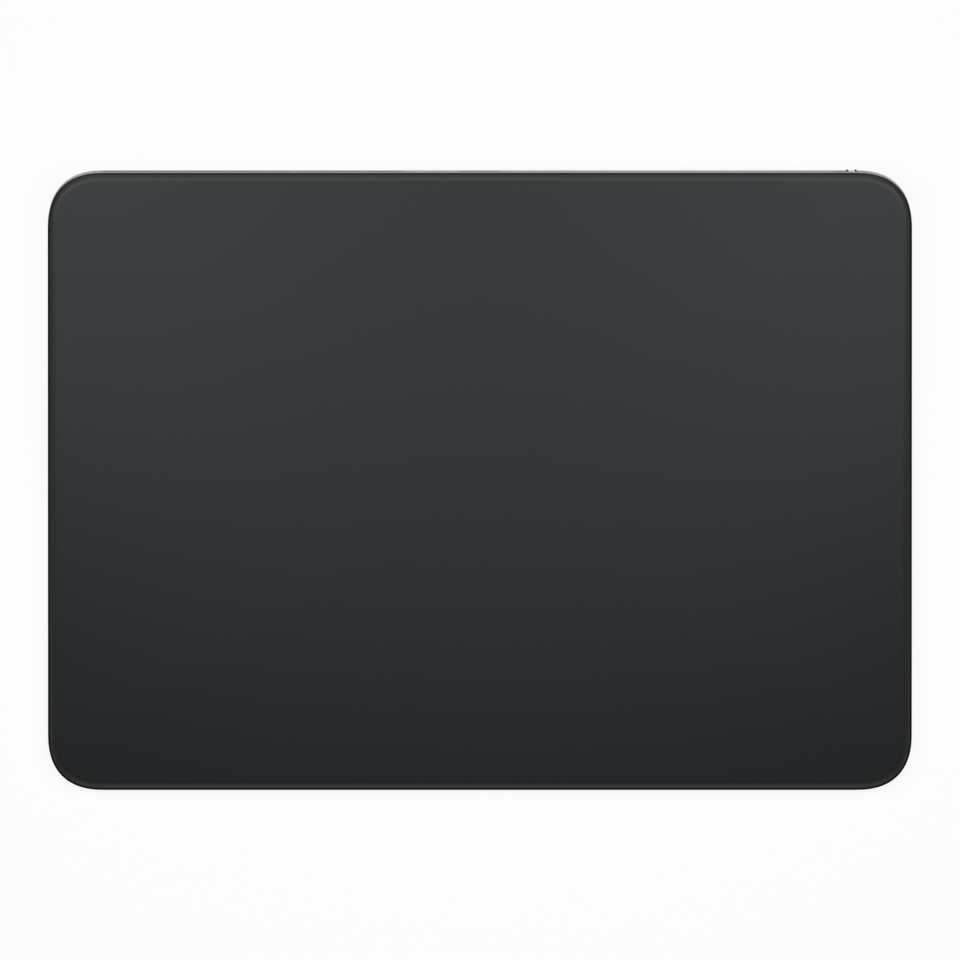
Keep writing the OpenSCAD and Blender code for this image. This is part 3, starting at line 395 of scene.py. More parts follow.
def grow(tree, finish, sizes, points=()):
    """Runs a Geometry Nodes tree once and returns what it makes as a plain mesh."""
    seeds = bpy.data.meshes.new(tree.name)
    seeds.from_pydata([tuple(point) for point in points], [], [])
    holder = put(tree.name, seeds)
    modifier = holder.modifiers.new(tree.name, "NODES")
    modifier.node_group = tree
    for item in tree.interface.items_tree:
        if item.name in sizes:
            modifier[item.identifier] = float(sizes[item.name])
        elif item.name == "Finish":
            modifier[item.identifier] = finish
    return outward(settled(holder))


def spot(start, x=0.0, y=0.0, z=0.0):
    """A place from its three distances."""
    return start.add("ShaderNodeCombineXYZ", sockets={"X": x, "Y": y, "Z": z})


def share_of(value, whole):
    """How far a value has come of the whole, held between 0 and 1."""
    return (value / whole).math("MAXIMUM", 0.0).math("MINIMUM", 1.0)


def flat_skin(start, rings, around):
    """A grid to wrap into a skin, with each point's ring and its step round that ring."""
    grid = start.add("GeometryNodeMeshGrid", sockets={"Vertices X": rings, "Vertices Y": around})
    index = start.add("GeometryNodeInputIndex")
    return grid, (index / around).math("FLOOR"), index % around


def wrapped(grid, x, y, z):
    """The skin with its points in their places and its seams closed."""
    moved = grid.add("GeometryNodeSetPosition", sockets={"Geometry": grid, "Position": spot(grid, x, y, z)})
    return grid.add("GeometryNodeMergeByDistance", sockets={"Geometry": moved, "Distance": SAME_SPOT})


def make_wedge_tree():
    """A closed wedge with superellipse corners, a rounded lower edge and a rounded upper edge."""
    start, size = new_tree("rounded_wedge", "Width", "Depth", "Corner Reach", "Corner Power", "Middle",
                           "Low", "Low Slope", "High", "Low Radius", "Edge Width", "Edge Height")
    rings = LOW_STEPS + EDGE_STEPS + 4
    grid, ring, step = flat_skin(start, rings, 4 * (CORNER_STEPS + 1) + 1)
    quarter = (step / (CORNER_STEPS + 1)).math("FLOOR") % 4
    angle = (step % (CORNER_STEPS + 1)) * (math.pi / 2 / CORNER_STEPS)
    low_angle = share_of(ring - 1, LOW_STEPS) * (math.pi / 2)
    edge_angle = share_of(ring - LOW_STEPS - 2, EDGE_STEPS) * (math.pi / 2)
    upper = ring > LOW_STEPS + 1.5
    low_inset = size["Low Radius"] * (1 - low_angle.math("SINE"))
    low_rise = size["Low Radius"] * (1 - low_angle.math("COSINE"))
    edge_inset = size["Edge Width"] * (1 - edge_angle.math("COSINE"))
    edge_drop = size["Edge Height"] * (1 - edge_angle.math("SINE"))
    reach = size["Corner Reach"] - low_inset - upper * (edge_inset - low_inset)
    power = 2 / size["Corner Power"]
    near = reach * angle.math("COSINE").math("ABSOLUTE") ** power
    far = reach * angle.math("SINE").math("ABSOLUTE") ** power
    odd = quarter % 2
    side_x = ((quarter - 1.5).math("ABSOLUTE") - 1).math("SIGN")
    side_v = (1.5 - quarter).math("SIGN")
    within = (ring > 0.5) * (ring < rings - 1.5)
    x = within * side_x * (size["Width"] / 2 - size["Corner Reach"] + near + odd * (far - near))
    v = within * side_v * (size["Depth"] / 2 - size["Corner Reach"] + far + odd * (near - far))
    low = size["Low"] - v * size["Low Slope"] + low_rise
    w = low + upper * (size["High"] - edge_drop - low)
    return close_tree(wrapped(grid, x, v + size["Middle"], w), size, on_points=False)


def loft(rings, closed=False, capped=True):
    """A skin over rings of points. Its ends are capped, left to meet, or joined to each other."""
    count = len(rings[0])
    points = [tuple(point) for ring in rings for point in ring]
    spans = len(rings) if closed else len(rings) - 1
    faces = [(k * count + i, k * count + (i + 1) % count,
              (k + 1) % len(rings) * count + (i + 1) % count, (k + 1) % len(rings) * count + i)
             for k in range(spans) for i in range(count)]
    if capped and not closed:
        faces += [tuple(range(count)), tuple(range(len(points) - count, len(points)))]
    mesh = bpy.data.meshes.new("loft")
    mesh.from_pydata(points, [], faces)
    return outward(mesh)


def join(meshes):
    """One mesh of several, each of which is used up."""
    whole = bmesh.new()
    for mesh in meshes:
        whole.from_mesh(mesh)
        bpy.data.meshes.remove(mesh)
    return stored(whole, bpy.data.meshes.new("joined"))


def carve(mesh, tool, operation="DIFFERENCE"):
    """The mesh with the tool's shape cut out of it or added to it."""
    blank = put("blank", mesh)
    cutter = put("cutter", tool)
    modifier = blank.modifiers.new("carve", "BOOLEAN")
    modifier.object = cutter
    modifier.operation = operation
    modifier.solver = "EXACT"
    modifier.use_self = operation == "UNION"
    result = settled(blank)
    bpy.data.objects.remove(cutter)
    return outward(result)


def rounded_rect(width, depth, radius, steps=10):
    """The points of a rectangle with round corners about the origin."""
    turns = [math.pi / 2 * k / steps for k in range(steps + 1)]
    return [(sx * (width / 2 - radius) + radius * math.cos(quarter * math.pi / 2 + turn),
             sy * (depth / 2 - radius) + radius * math.sin(quarter * math.pi / 2 + turn))
            for quarter, (sx, sy) in enumerate(((1, 1), (-1, 1), (-1, -1), (1, -1))) for turn in turns]


def pill(size, grown=0.0):
    """The outline of an upright slot with round ends, grown all round."""
    height = size.z + 2 * grown
    return rounded_rect(size.x + 2 * grown, height, height / 2 - SLIVER)


def stacked(middle, stages):
    """A solid through outlines on the ground plan, each at its own level."""
    return loft([[(middle[0] + a, middle[1] + b, level) for a, b in outline] for outline, level in stages])


def prism(outline, low, high, middle=(0.0, 0.0)):
    """An outline on the ground plan, carried straight up."""
    return stacked(middle, [(outline, low), (outline, high)])


def circle(radius, steps):
    """The points of a circle about the origin."""
    turns = [2 * math.pi * k / steps for k in range(steps)]
    return [(radius * math.cos(turn), radius * math.sin(turn)) for turn in turns]


def post(middle, radius, low, high, steps=32):
    """A round post."""
    return prism(circle(radius, steps), low, high, middle)


def sloped(mesh):
    """A mesh that was made flat, laid on the slope of the glass."""
    mesh.transform(on_slope)
    return mesh


def in_wall(middle, stages, closed=False):
    """A solid that stands in the rear wall, through outlines that each lie at a depth along the slope."""
    return sloped(loft([[(middle[0] + a, depth, middle[2] + b) for a, b in outline]
                        for outline, depth in stages], closed))


def new_finish(name, constants, vary):
    """A material: its constants are set on the shader, and vary gives what changes over a surface."""
    finish = bpy.data.materials.new(name)
    finish.use_nodes = True
    tree = finish.node_tree
    shader = tree.nodes["Principled BSDF"]
    for socket, value in constants.items():
        shader.inputs[socket].default_value = value
    place = Wire(tree).add("ShaderNodeTexCoord", out="Object")
    for socket, wire in vary(place).items():
        tree.links.new(wire.socket, shader.inputs[socket])
    return finish


def noise(place, scale, detail=2.0, stretch=None):
    """Smooth random values from 0 to 1, with so many lumps to the metre. A stretch below 1 draws them out."""
    if stretch:
        place = place.add("ShaderNodeMapping", sockets={"Vector": place, "Scale": stretch})
    return place.add("ShaderNodeTexNoise", sockets={"Vector": place, "Scale": scale, "Detail": detail})


def blend(share, *colours):
    """A colour between two."""
    first, second = (colour if isinstance(colour, Wire) else (*colour, 1.0) for colour in colours)
    return share.add("ShaderNodeMix", {"data_type": "RGBA"}, {0: share, 6: first, 7: second}, 2)


def bumps(height, strength, depth):
    """A normal from small heights over the surface."""
    return height.add("ShaderNodeBump", sockets={"Strength": strength, "Distance": depth, "Height": height})


def dress(name, mesh, node, finish, body="housing"):
    """Makes a mesh a piece of the part with its finish and its body, and hides the CAD node that it stands
    for.
    A piece with no body is left unattached."""
    mesh.name = name
    mesh.materials.clear()
    mesh.materials.append(finish)
    mesh.shade_smooth()
    mesh.set_sharp_from_angle(angle=CREASE_ANGLE)
    piece = put(name, mesh)
    if body:
        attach(piece, body)
    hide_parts(node)
    return piece


def anodised(place):
    """Bead-blasted metal: a fine dull grain over slow, faint changes of tone, with painted shade on the faces
    inside the openings of the rear wall.
    """
    grain = noise(place, 7000.0)
    # Painted shade: the marked faces inside the rear wall's openings are darkened.
    cut = place.add("ShaderNodeAttribute", {"attribute_name": "cut_face"}, out="Fac")
    blasted = blend(noise(place, 45.0, 3.0), (0.58, 0.585, 0.59), (0.63, 0.635, 0.64))
    return {"Base Color": blend(cut, blasted, RECESS_SHADE_COLOUR),
            "Roughness": 0.36 + grain * 0.12,
            "Normal": bumps(grain, 0.12, 0.02 * mm)}


block = slope_box("housing")
base_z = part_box("housing")[0].z
roof = slope_box("battery_tape").high.z
web_top = slope_box("sensor_tape").low.z
wall_out = block.high.y - REAR_TRIM
wall_in = wall_out - WALL

body_finish = new_finish("anodised_aluminium", {"Metallic": 1.0, "Specular Tint": BODY_EDGE_TINT}, anodised)
wedge_tree = make_wedge_tree()
body = sloped(grow(wedge_tree, body_finish, {
    "Width": block.size.x, "Depth": block.size.y - REAR_TRIM, "Middle": block.middle.y - REAR_TRIM / 2,
    "Corner Reach": CORNER_REACH, "Corner Power": CORNER_POWER,
    "Low": (base_z - block.middle.y * math.sin(tilt)) / math.cos(tilt), "Low Slope": math.tan(tilt),
    "Low Radius": FOOT_RADIUS, "High": block.high.z, "Edge Width": RIM_BREAK, "Edge Height": RIM_BREAK}))

sensor = slope_box("touch_sensor_board")
cover = level_box("bottom_cover")
body = carve(body, sloped(prism(
    rounded_rect(sensor.size.x + 2 * SENSOR_PLAY, sensor.size.y + 2 * SENSOR_PLAY, SENSOR_CORNER),
    web_top, block.high.z + OVER, (0.0, block.middle.y))))
body = carve(body, sloped(prism(
    rounded_rect(block.size.x - 2 * WALL, block.size.y - 2 * WALL, WALL_CORNER),
    block.low.z - 10 * OVER, roof, (0.0, block.middle.y))))
body = carve(body, prism(
    rounded_rect(cover.size.x + 2 * COVER_PLAY, cover.size.y + 2 * COVER_PLAY, COVER_CORNER),
    base_z - OVER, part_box("cover_gasket")[1].z, cover.middle))

bosses = []
threads = []
for node, radius, onto in BOSSES:
    for box in islands(node, onto.inverted()):
        foot = box.high.z - SCREW_BITE
        root = roof if onto is on_slope else (roof + box.middle.y * math.sin(tilt)) / math.cos(tilt)
        bosses.append(post(box.middle, radius, foot, root + BOSS_ROOT))
        threads.append(post(box.middle, SCREW_RADIUS + THREAD_ROOM, foot - OVER, box.high.z + THREAD_ROOM))
        bosses[-1].transform(onto)
        threads[-1].transform(onto)
body = carve(body, join(bosses), "UNION")
body = carve(body, join(threads))

socket = slope_box("charge_socket_shell")
window = slope_box("antenna_window")
switch = slope_box("switch_body")


def port_hole(grown):
    """The outline of the socket's hole, grown all round."""
    return pill(socket.size, PORT_PLAY + grown)


def window_hole(grown):
    """The outline of the window's slot, grown all round."""
    return pill(window.size, grown - WINDOW_FLANGE)


def switch_slot(grown):
    """The outline of the knob's slot, grown all round."""
    return rounded_rect(SLOT_LENGTH + 2 * grown, SLOT_HEIGHT + 2 * grown, SLOT_CORNER + grown)


def broken_hole(outline, middle, edge):
    """A hole through the rear wall with its outer edge broken."""
    return in_wall(middle, [(outline(0.0), wall_in - OVER), (outline(0.0), wall_out - edge),
                            (outline(edge), wall_out), (outline(edge), wall_out + OVER)])


switch_middle = (switch.middle.x, 0.0, socket.middle.z)
body = carve(body, broken_hole(port_hole, (0.0, 0.0, socket.middle.z), PORT_BREAK))
body = carve(body, in_wall(window.middle, [(window_hole(0.0), depth)
                                           for depth in (wall_in - OVER, wall_out + OVER)]))
body = carve(body, broken_hole(switch_slot, switch_middle, SLOT_BREAK))
pocket = rounded_rect(switch.size.x + 2 * SWITCH_ROOM, POCKET_HEIGHT, POCKET_CORNER)
body = carve(body, in_wall(switch_middle, [(pocket, wall_in - OVER), (pocket, wall_out - SWITCH_SKIN)]))
cable_v = slope_box("sensor_flex").low.y + CABLE_OFFSET
body = carve(body, sloped(prism(rounded_rect(CABLE_LENGTH, CABLE_ROOM, CABLE_ROOM / 2 - SLIVER),
                                roof - OVER, web_top + OVER, (0.0, cable_v))))

# The faces inside the openings of the rear wall are marked, and get a darker colour there as painted shade in
# those recesses.
recess_shade_marks = body.attributes.new("cut_face", "FLOAT", "FACE")
for face in body.polygons:
    centre = off_slope @ face.center
    facing = (off_slope.to_3x3() @ face.normal).y
    beside = abs(centre.x) < socket.size.x or abs(centre.x - switch.middle.x) < SLOT_LENGTH
    recess_shade_marks.data[face.index].value = float(beside and wall_in < centre.y < wall_out and facing < FACING_OUT
                                         and abs(centre.z - socket.middle.z) < SLOT_HEIGHT)
dress("aluminium_body", body, "housing", body_finish)


# Antenna window: a strip of grey glass-filled nylon, moulded with a flange and pressed into its slot
# from inside. The radio antenna is a copper pattern on a film that is bonded to its back.
WINDOW_ROUND = 0.12 * mm
FLANGE_THICK = 0.6 * mm
ROUND_STEPS = 5
ANTENNA_TRACK = 1.6 * mm
TRACK_EDGE = (0.22, 0.28)
FILM_SHINE = {"IOR": 1.6, "Coat Weight": 0.3}


def quarter_round(radius):
    """How far an edge has drawn in and how far it has come forward, along a quarter of a circle."""
    turns = [math.pi / 2 * k / ROUND_STEPS for k in range(ROUND_STEPS + 1)]
    return [(radius * (1 - math.cos(turn)), radius * math.sin(turn)) for turn in turns]


def grained(tone, colours, dull, grain=None, bump=None):
    """A finish of two colours with a grain. The tone and the grain are each a noise, the colours lie at the
    ends of the tone, dull is the least roughness and how much the grain adds, and the grain may stand up."""
    def vary(place):
        patches = noise(place, *tone)
        specks = noise(place, *grain) if grain else patches
        surface = {"Base Color": blend(patches, *colours), "Roughness": dull[0] + specks * dull[1]}
        if bump:
            surface["Normal"] = bumps(specks, *bump)
        return surface
    return vary


def along(place, axis):
    """The distance along one axis."""
    return place.add("ShaderNodeSeparateXYZ", sockets={"Vector": place}, out=axis)


def lanes(distance, pitch):
    """How far a spot lies from the middle of its lane, from 0 to a half."""
    return (distance / pitch % 1.0 - 0.5).math("ABSOLUTE")


def ramp(value, start, end, top=1.0):
    """A value that climbs from 0 to the top between two others."""
    return value.add("ShaderNodeMapRange", sockets={
        "Value": value, "From Min": start, "From Max": end, "To Max": top})


def printed_film(track, across):
    """Amber film over copper tracks of a given pitch, which run along the piece or across it."""
    def vary(place):
        copper = ramp(lanes(along(place, across), track), *TRACK_EDGE)
        ripple = noise(place, 700.0)
        return {"Base Color": blend(copper, (0.36, 0.13, 0.02), (0.62, 0.27, 0.06)),
                "Roughness": 0.28 + ripple * 0.2,
                "Normal": bumps(copper + ripple * 0.3, 0.3, 0.02 * mm)}
    return vary


def repaint(node, finish):
    """Gives a CAD node that stays in view its finish."""
    for place in frame["nodes"][node].material_slots:
        place.material = finish


# Spark-textured plastic with pale flecks of glass fibre.
window_finish = new_finish("moulded_nylon", {"IOR": 1.5, "Specular IOR Level": 0.0}, grained(
    tone=(9000.0, 2.0, (0.2, 1.0, 1.0)), colours=((0.13, 0.133, 0.137), (0.17, 0.173, 0.177)),
    dull=(0.52, 0.16), grain=(5200.0,), bump=(0.2, 0.01 * mm)))
flange_front = window.low.y + FLANGE_THICK
strip = [(pill(window.size), window.low.y), (pill(window.size), flange_front),
         (window_hole(-WINDOW_PLAY), flange_front)]
strip += [(window_hole(-WINDOW_PLAY - inset), wall_out - WINDOW_ROUND + rise)
          for inset, rise in quarter_round(WINDOW_ROUND)]
dress("window_strip", in_wall(window.middle, strip), "antenna_window", window_finish)
repaint("antenna", new_finish("antenna_film", FILM_SHINE, printed_film(ANTENNA_TRACK, "X")))


# Charging socket: a drawn steel tube with a rounded lip, a black moulded block and tongue inside it,
# and eight plated contact springs. A sheet bracket with two screws holds it behind the rear wall.
SOCKET_WALL = 0.25 * mm
TONGUE_THICK = 0.4 * mm
TONGUE_WIDTH = 5.0 * mm
TONGUE_CORNER = 0.06 * mm
TONGUE_NOSE = 0.15 * mm
CONTACTS = 8
CONTACT_STEPS = 24
NOSE_FROM = 0.88
NOSE_DROP = 0.9
BRACKET_BREAK = 0.06 * mm
FLAT_ANGLE = math.radians(1.0)
BREAK_ANGLE = math.radians(40.0)

lip = SOCKET_WALL / 2
lip_turns = [math.pi / 2 * k / ROUND_STEPS for k in range(2 * ROUND_STEPS + 1)]
tube = [(pill(socket.size), socket.low.y)]
tube += [(pill(socket.size, lip * math.cos(turn) - lip), socket.high.y - lip + lip * math.sin(turn))
         for turn in lip_turns]
tube.append((pill(socket.size, -SOCKET_WALL), socket.low.y))
# Drawn steel: fine lines along the draw and a slightly uneven shine.
steel_finish = new_finish("drawn_steel", {"Metallic": 1.0}, grained(
    tone=(400.0,), colours=((0.50, 0.50, 0.50), (0.60, 0.60, 0.59)),
    dull=(0.22, 0.14), grain=(9000.0, 2.0, (1.0, 0.04, 1.0)), bump=(0.08, 0.01 * mm)))
dress("socket_tube", in_wall(socket.middle, tube, closed=True), "charge_socket_shell",
      steel_finish)

# Black engineering plastic with a fine moulded texture.
black_finish = new_finish("black_plastic", {"IOR": 1.5}, grained(
    tone=(300.0,), colours=((0.012, 0.012, 0.013), (0.022, 0.022, 0.023)),
    dull=(0.4, 0.2), grain=(6000.0,), bump=(0.15, 0.01 * mm)))
insulator = slope_box("charge_socket_insulator")
contact = slope_box("charge_socket_contacts")
block_outline = pill(insulator.size)
socket_block = in_wall(socket.middle, [(block_outline, insulator.low.y), (block_outline, contact.low.y)])
tongue = in_wall((0.0, 0.0, contact.low.z - TONGUE_THICK / 2), [
    (rounded_rect(TONGUE_WIDTH - 2 * inset, TONGUE_THICK - inset, TONGUE_CORNER), depth)
    for inset, depth in ((0.0, contact.low.y - OVER), (0.0, insulator.high.y - TONGUE_NOSE),
                         (TONGUE_NOSE, insulator.high.y))])
dress("socket_tongue", carve(socket_block, tongue, "UNION"), "charge_socket_insulator",
      black_finish)


def straight(start, first, last):
    """A straight path between two places."""
    return start.add("GeometryNodeCurvePrimitiveLine", sockets={"Start": first, "End": last})


def swept(path, section):
    """A solid bar of a given section along a path."""
    return path.add("GeometryNodeCurveToMesh",
                    sockets={"Curve": path, "Profile Curve": section, "Fill Caps": True})


def oblong(start, width, height):
    """An oblong section."""
    return start.add("GeometryNodeCurvePrimitiveQuadrilateral", sockets={"Width": width, "Height": height})


def make_contact_tree():
    """A row of flat contact springs, each with its nose bent down to lead the plug in."""
    start, size = new_tree("contact_row", "Count", "Pitch", "Length", "Width", "Thickness")
    row = start.add("GeometryNodeMeshLine", sockets={
        "Count": size["Count"], "Offset": spot(start, x=size["Pitch"]),
        "Start Location": spot(start, x=size["Pitch"] * (size["Count"] - 1) * -0.5)})
    path = straight(start, spot(start), spot(start, y=size["Length"]))
    path = start.add("GeometryNodeResampleCurve", sockets={"Curve": path, "Count": CONTACT_STEPS})
    share = start.add("GeometryNodeSplineParameter", out="Factor")
    nose = (share - NOSE_FROM).math("MAXIMUM", 0.0) / (1 - NOSE_FROM)
    drop = spot(start, z=nose * nose * size["Thickness"] * -NOSE_DROP)
    path = start.add("GeometryNodeSetPosition", sockets={"Geometry": path, "Offset": drop})
    spring = swept(path, oblong(start, size["Width"], size["Thickness"]))
    springs = start.add("GeometryNodeInstanceOnPoints", sockets={"Points": row, "Instance": spring})
    return close_tree(springs, size, on_points=False)


# Thin gold plate over nickel, a little worn where a plug wipes it.
gold_finish = new_finish("plated_gold", {"Metallic": 1.0}, grained(
    tone=(5000.0, 2.0, (1.0, 0.1, 1.0)), colours=((0.85, 0.58, 0.20), (0.95, 0.74, 0.36)), dull=(0.18, 0.14)))
contact_width = islands("charge_socket_contacts")[0].size.x
contacts = grow(make_contact_tree(), gold_finish, {
    "Count": CONTACTS, "Pitch": (contact.size.x - contact_width) / (CONTACTS - 1), "Length": contact.size.y,
    "Width": contact_width, "Thickness": contact.size.z})
contacts.transform(Matrix.Translation((0.0, contact.low.y, contact.middle.z)))
dress("contact_springs", sloped(contacts), "charge_socket_contacts", gold_finish)


def dress_refined(name, node, width, finish, body="housing", segments=2):
    """Dresses a copy of a CAD node, with its triangles merged, its flats joined and its edges broken."""
    copy = frame["nodes"][node].data.copy()
    skin = opened(copy)
    bmesh.ops.dissolve_limit(skin, angle_limit=FLAT_ANGLE, verts=skin.verts, edges=skin.edges)
    holder = put("refined", stored(skin, copy))
    bevel = holder.modifiers.new("broken_edges", "BEVEL")
    bevel.width = width
    bevel.segments = segments
    bevel.limit_method = "ANGLE"
    bevel.angle_limit = BREAK_ANGLE
    return dress(name, settled(holder), node, finish, body)


# Tinned sheet: bright and softly clouded.
tinned_steel = grained(tone=(600.0, 4.0), colours=((0.56, 0.56, 0.55), (0.68, 0.68, 0.67)),
                       dull=(0.24, 0.16), bump=(0.06, 0.02 * mm))
tin_finish = new_finish("tinned_sheet", {"Metallic": 1.0}, tinned_steel)
dress_refined("bracket_sheet", "socket_bracket", BRACKET_BREAK, tin_finish)


# Power switch: a machined aluminium knob with a dished face on a sliding plate. It runs in the black
# body of a slide switch, which sits in a pocket of the wall and is joined to the board by a film cable.
KNOB_WIDTH = 1.95 * mm
KNOB_HEIGHT = 1.8 * mm
KNOB_CORNER = 0.4 * mm
KNOB_DISH = 0.25 * mm
KNOB_HORN = 0.22 * mm
KNOB_SETBACK = 0.04 * mm
KNOB_ROUND = 0.08 * mm
KNOB_STEPS = 16
# Painted shade on the horns at the ends of the knob's dished face.
HORN_SHADE_FROM = 0.55 * mm
HORN_SHADE_TO = 0.65 * mm
HORN_SHADE_COLOUR = (0.030, 0.028, 0.026)
SLIDER_THICK = 0.5 * mm
SLIDER_ROUND = 0.05 * mm
STEM_SIDE = 1.0 * mm
SWITCH_BREAK = 0.06 * mm
BLOCK_STEPS = 4
CORNER_KEEP = 0.9
CABLE_TRACK = 0.35 * mm

knob = slope_box("switch_knob")
knob_x = knob.middle.x
slider_back = switch.high.y + (wall_out - SWITCH_SKIN - switch.high.y - SLIDER_THICK) / 2
dish_half = KNOB_WIDTH / 2 - KNOB_HORN
dish_radius = (dish_half ** 2 + KNOB_DISH ** 2) / (2 * KNOB_DISH)


def knob_ring(inset, back, squeeze=1.0):
    """The knob's outline, drawn in by an inset, on a face that is dished from side to side."""
    half = KNOB_WIDTH / 2 - inset
    rise = KNOB_HEIGHT / 2 - inset
    radius = KNOB_CORNER - inset
    edge = []
    for k in range(KNOB_STEPS + 1):
        a = -half * math.cos(math.pi * k / KNOB_STEPS)
        b = rise - radius + math.sqrt(max(0.0, radius ** 2 - max(0.0, abs(a) - half + radius) ** 2))
        dish = max(0.0, KNOB_DISH - dish_radius + math.sqrt(max(0.0, dish_radius ** 2 - a ** 2)))
        edge.append((a, b * squeeze, knob.high.y - KNOB_SETBACK - dish - back))
    return [(knob_x + a, depth, socket.middle.z + b)
            for a, b, depth in edge + [(a, -b, depth) for a, b, depth in reversed(edge)]]


def machined_aluminium(place):
    """Fine turned lines on anodised aluminium, brighter than the blasted body, with painted shade that
    darkens the two horns at the ends of the dished face.
    """
    lines = noise(place, 16000.0, stretch=(0.1, 1.0, 1.0))
    # Painted shade: the horns at each end of the knob are coloured near-black.
    horn_shade = ramp((along(place, "X") - knob_x).math("ABSOLUTE"), HORN_SHADE_FROM, HORN_SHADE_TO)
    bright = blend(noise(place, 900.0), (0.43, 0.434, 0.44), (0.48, 0.484, 0.49))
    return {"Base Color": blend(horn_shade, bright, HORN_SHADE_COLOUR),
            "Roughness": 0.42 + lines * 0.12,
            "Normal": bumps(lines, 0.06, 0.01 * mm)}


def soft_block(low, high, radius):
    """A block of the slope's frame with small rounds on its edges."""
    low, high, size, middle = extent_of([low, high])
    rings = [(radius - rise, low.z + inset) for inset, rise in quarter_round(radius)]
    rings += [(inset, high.z - radius + rise) for inset, rise in quarter_round(radius)]
    return stacked(middle, [(rounded_rect(size.x - 2 * inset, size.y - 2 * inset,
                                          radius - CORNER_KEEP * inset, BLOCK_STEPS), level)
                            for inset, level in rings])


knob_rings = [[(a, slider_back, b) for a, _, b in knob_ring(0.0, 0.0)]]
knob_rings += [knob_ring(inset, KNOB_ROUND - rise) for inset, rise in quarter_round(KNOB_ROUND)]
knob_mesh = loft(knob_rings + [knob_ring(KNOB_ROUND, 0.0, 0.0)], capped=False)
knob_skin = opened(knob_mesh)
bmesh.ops.holes_fill(knob_skin, edges=[edge for edge in knob_skin.edges if edge.is_boundary])
bmesh.ops.recalc_face_normals(knob_skin, faces=knob_skin.faces)
knob_mesh = stored(knob_skin, knob_mesh)
slider = soft_block(Vector((knob.low.x, slider_back, knob.low.z)),
                    Vector((knob.high.x, slider_back + SLIDER_THICK, knob.high.z)), SLIDER_ROUND)
stem_half = STEM_SIDE / 2
stem = soft_block(
    Vector((knob_x - stem_half, knob.low.y, socket.middle.z - stem_half)),
    Vector((knob_x + stem_half, slider_back + SLIDER_THICK / 2, socket.middle.z + stem_half)), SLIDER_ROUND)
knob_mesh = carve(carve(knob_mesh, slider, "UNION"), stem, "UNION")
knob_finish = new_finish("machined_aluminium", {"Metallic": 1.0}, machined_aluminium)
dress("knob_saddle", sloped(knob_mesh), "switch_knob", knob_finish, "power_switch")
dress_refined("switch_case", "switch_body", SWITCH_BREAK, black_finish)
cable_finish = new_finish("cable_film", FILM_SHINE, printed_film(CABLE_TRACK, "Y"))
repaint("switch_flex", cable_finish)


# Touch sensor: a laminate with two layers of diamond electrodes, taped down on the housing's web.
# A film cable runs from it through a slot in the web, and a dark adhesive joins it to the glass.
ELECTRODE = 5.0 * mm
ELECTRODE_LINE = 0.03


def electrode_laminate(place):
    """Amber laminate with a faint net of copper diamonds."""
    x, y = along(place, "X"), along(place, "Y")
    line = lanes(x + y, ELECTRODE).math("MINIMUM", lanes(x - y, ELECTRODE)) < ELECTRODE_LINE
    return {"Base Color": blend(line, (0.28, 0.15, 0.05), (0.12, 0.08, 0.03)),
            "Roughness": 0.34 + noise(place, 500.0) * 0.12,
            "Normal": bumps(line, 0.3, 0.02 * mm)}


# White adhesive tape with a slightly fibrous face, and the dark adhesive of the glass.
tape_finish = new_finish("paper_tape", {"IOR": 1.45}, grained(
    tone=(2600.0, 4.0, (0.3, 1.0, 1.0)), colours=((0.74, 0.74, 0.72), (0.82, 0.82, 0.80)),
    dull=(0.6, 0.2), bump=(0.2, 0.02 * mm)))
bond_finish = new_finish("dark_adhesive", {"IOR": 1.47}, grained(
    tone=(350.0,), colours=((0.015, 0.015, 0.016), (0.025, 0.025, 0.026)), dull=(0.3, 0.2)))
repaint("touch_sensor_board", new_finish("electrode_laminate", {"IOR": 1.55}, electrode_laminate))
repaint("sensor_tape", tape_finish)
repaint("sensor_flex", cable_finish)
repaint("glass_bond", bond_finish)


# Logic board: glass-fibre board under green resist, screwed below the web. Chips, chip capacitors and
# a drawn shield can are soldered to its lower face, and the cable connectors to both faces.
TRACK_PITCH = 0.5 * mm
TRACK_HALF = 0.16
LENGTHWISE_OVER = 0.5
TRACKS_OVER = 0.42
CHIP_BREAK = 0.1 * mm
CAN_BREAK = 0.3 * mm
CAN_HOLE_PITCH = 1.2 * mm
CAN_HOLE = 0.03
CAP_LENGTH = 0.25 * mm
CERAMIC_STEP = 0.04 * mm
CERAMIC_LAP = 1.02
CERAMIC_STEPS = 3
PIN_PITCH = 0.5 * mm
PIN_REACH = 0.35 * mm
PIN_WIDTH = 0.2 * mm
PIN_THICK = 0.12 * mm
PIN_ROUND = 0.25
PIN_STEPS = 2
CONNECTOR_BREAK = 0.1 * mm


def solder_mask(place):
    """Green resist, under which copper tracks run in patches along the board and across it."""
    lengthwise = noise(place, 160.0) > LENGTHWISE_OVER
    first, second = (lanes(along(place, axis), TRACK_PITCH) < TRACK_HALF for axis in "XY")
    track = lengthwise * first + (1 - lengthwise) * second
    track = track * (noise(place, 420.0) > TRACKS_OVER)
    return {"Base Color": blend(track, (0.010, 0.085, 0.034), (0.026, 0.150, 0.060)),
            "Roughness": 0.26 + noise(place, 3000.0) * 0.12,
            "Normal": bumps(track, 0.4, 0.02 * mm)}


def pierced_can(place):
    """Tinned sheet with a grid of small vent holes, which are not cut but painted near-black: painted shade
    for the dark inside of the can.
    """
    first, second = (along(place, axis) / CAN_HOLE_PITCH % 1.0 - 0.5 for axis in "XY")
    # Painted shade: each vent hole is a near-black spot on the sheet.
    hole = (first * first + second * second) < CAN_HOLE
    return {**tinned_steel(place),
            "Base Color": blend(hole, (0.62, 0.62, 0.61), (0.02, 0.02, 0.02)),
            "Normal": bumps(1 - hole, 0.8, 0.05 * mm)}


def eased_section(section, steps, radius):
    """A section with its corners rounded off."""
    return section.add("GeometryNodeFilletCurve", {"mode": "POLY"},
                       {"Curve": section, "Count": steps, "Radius": radius})


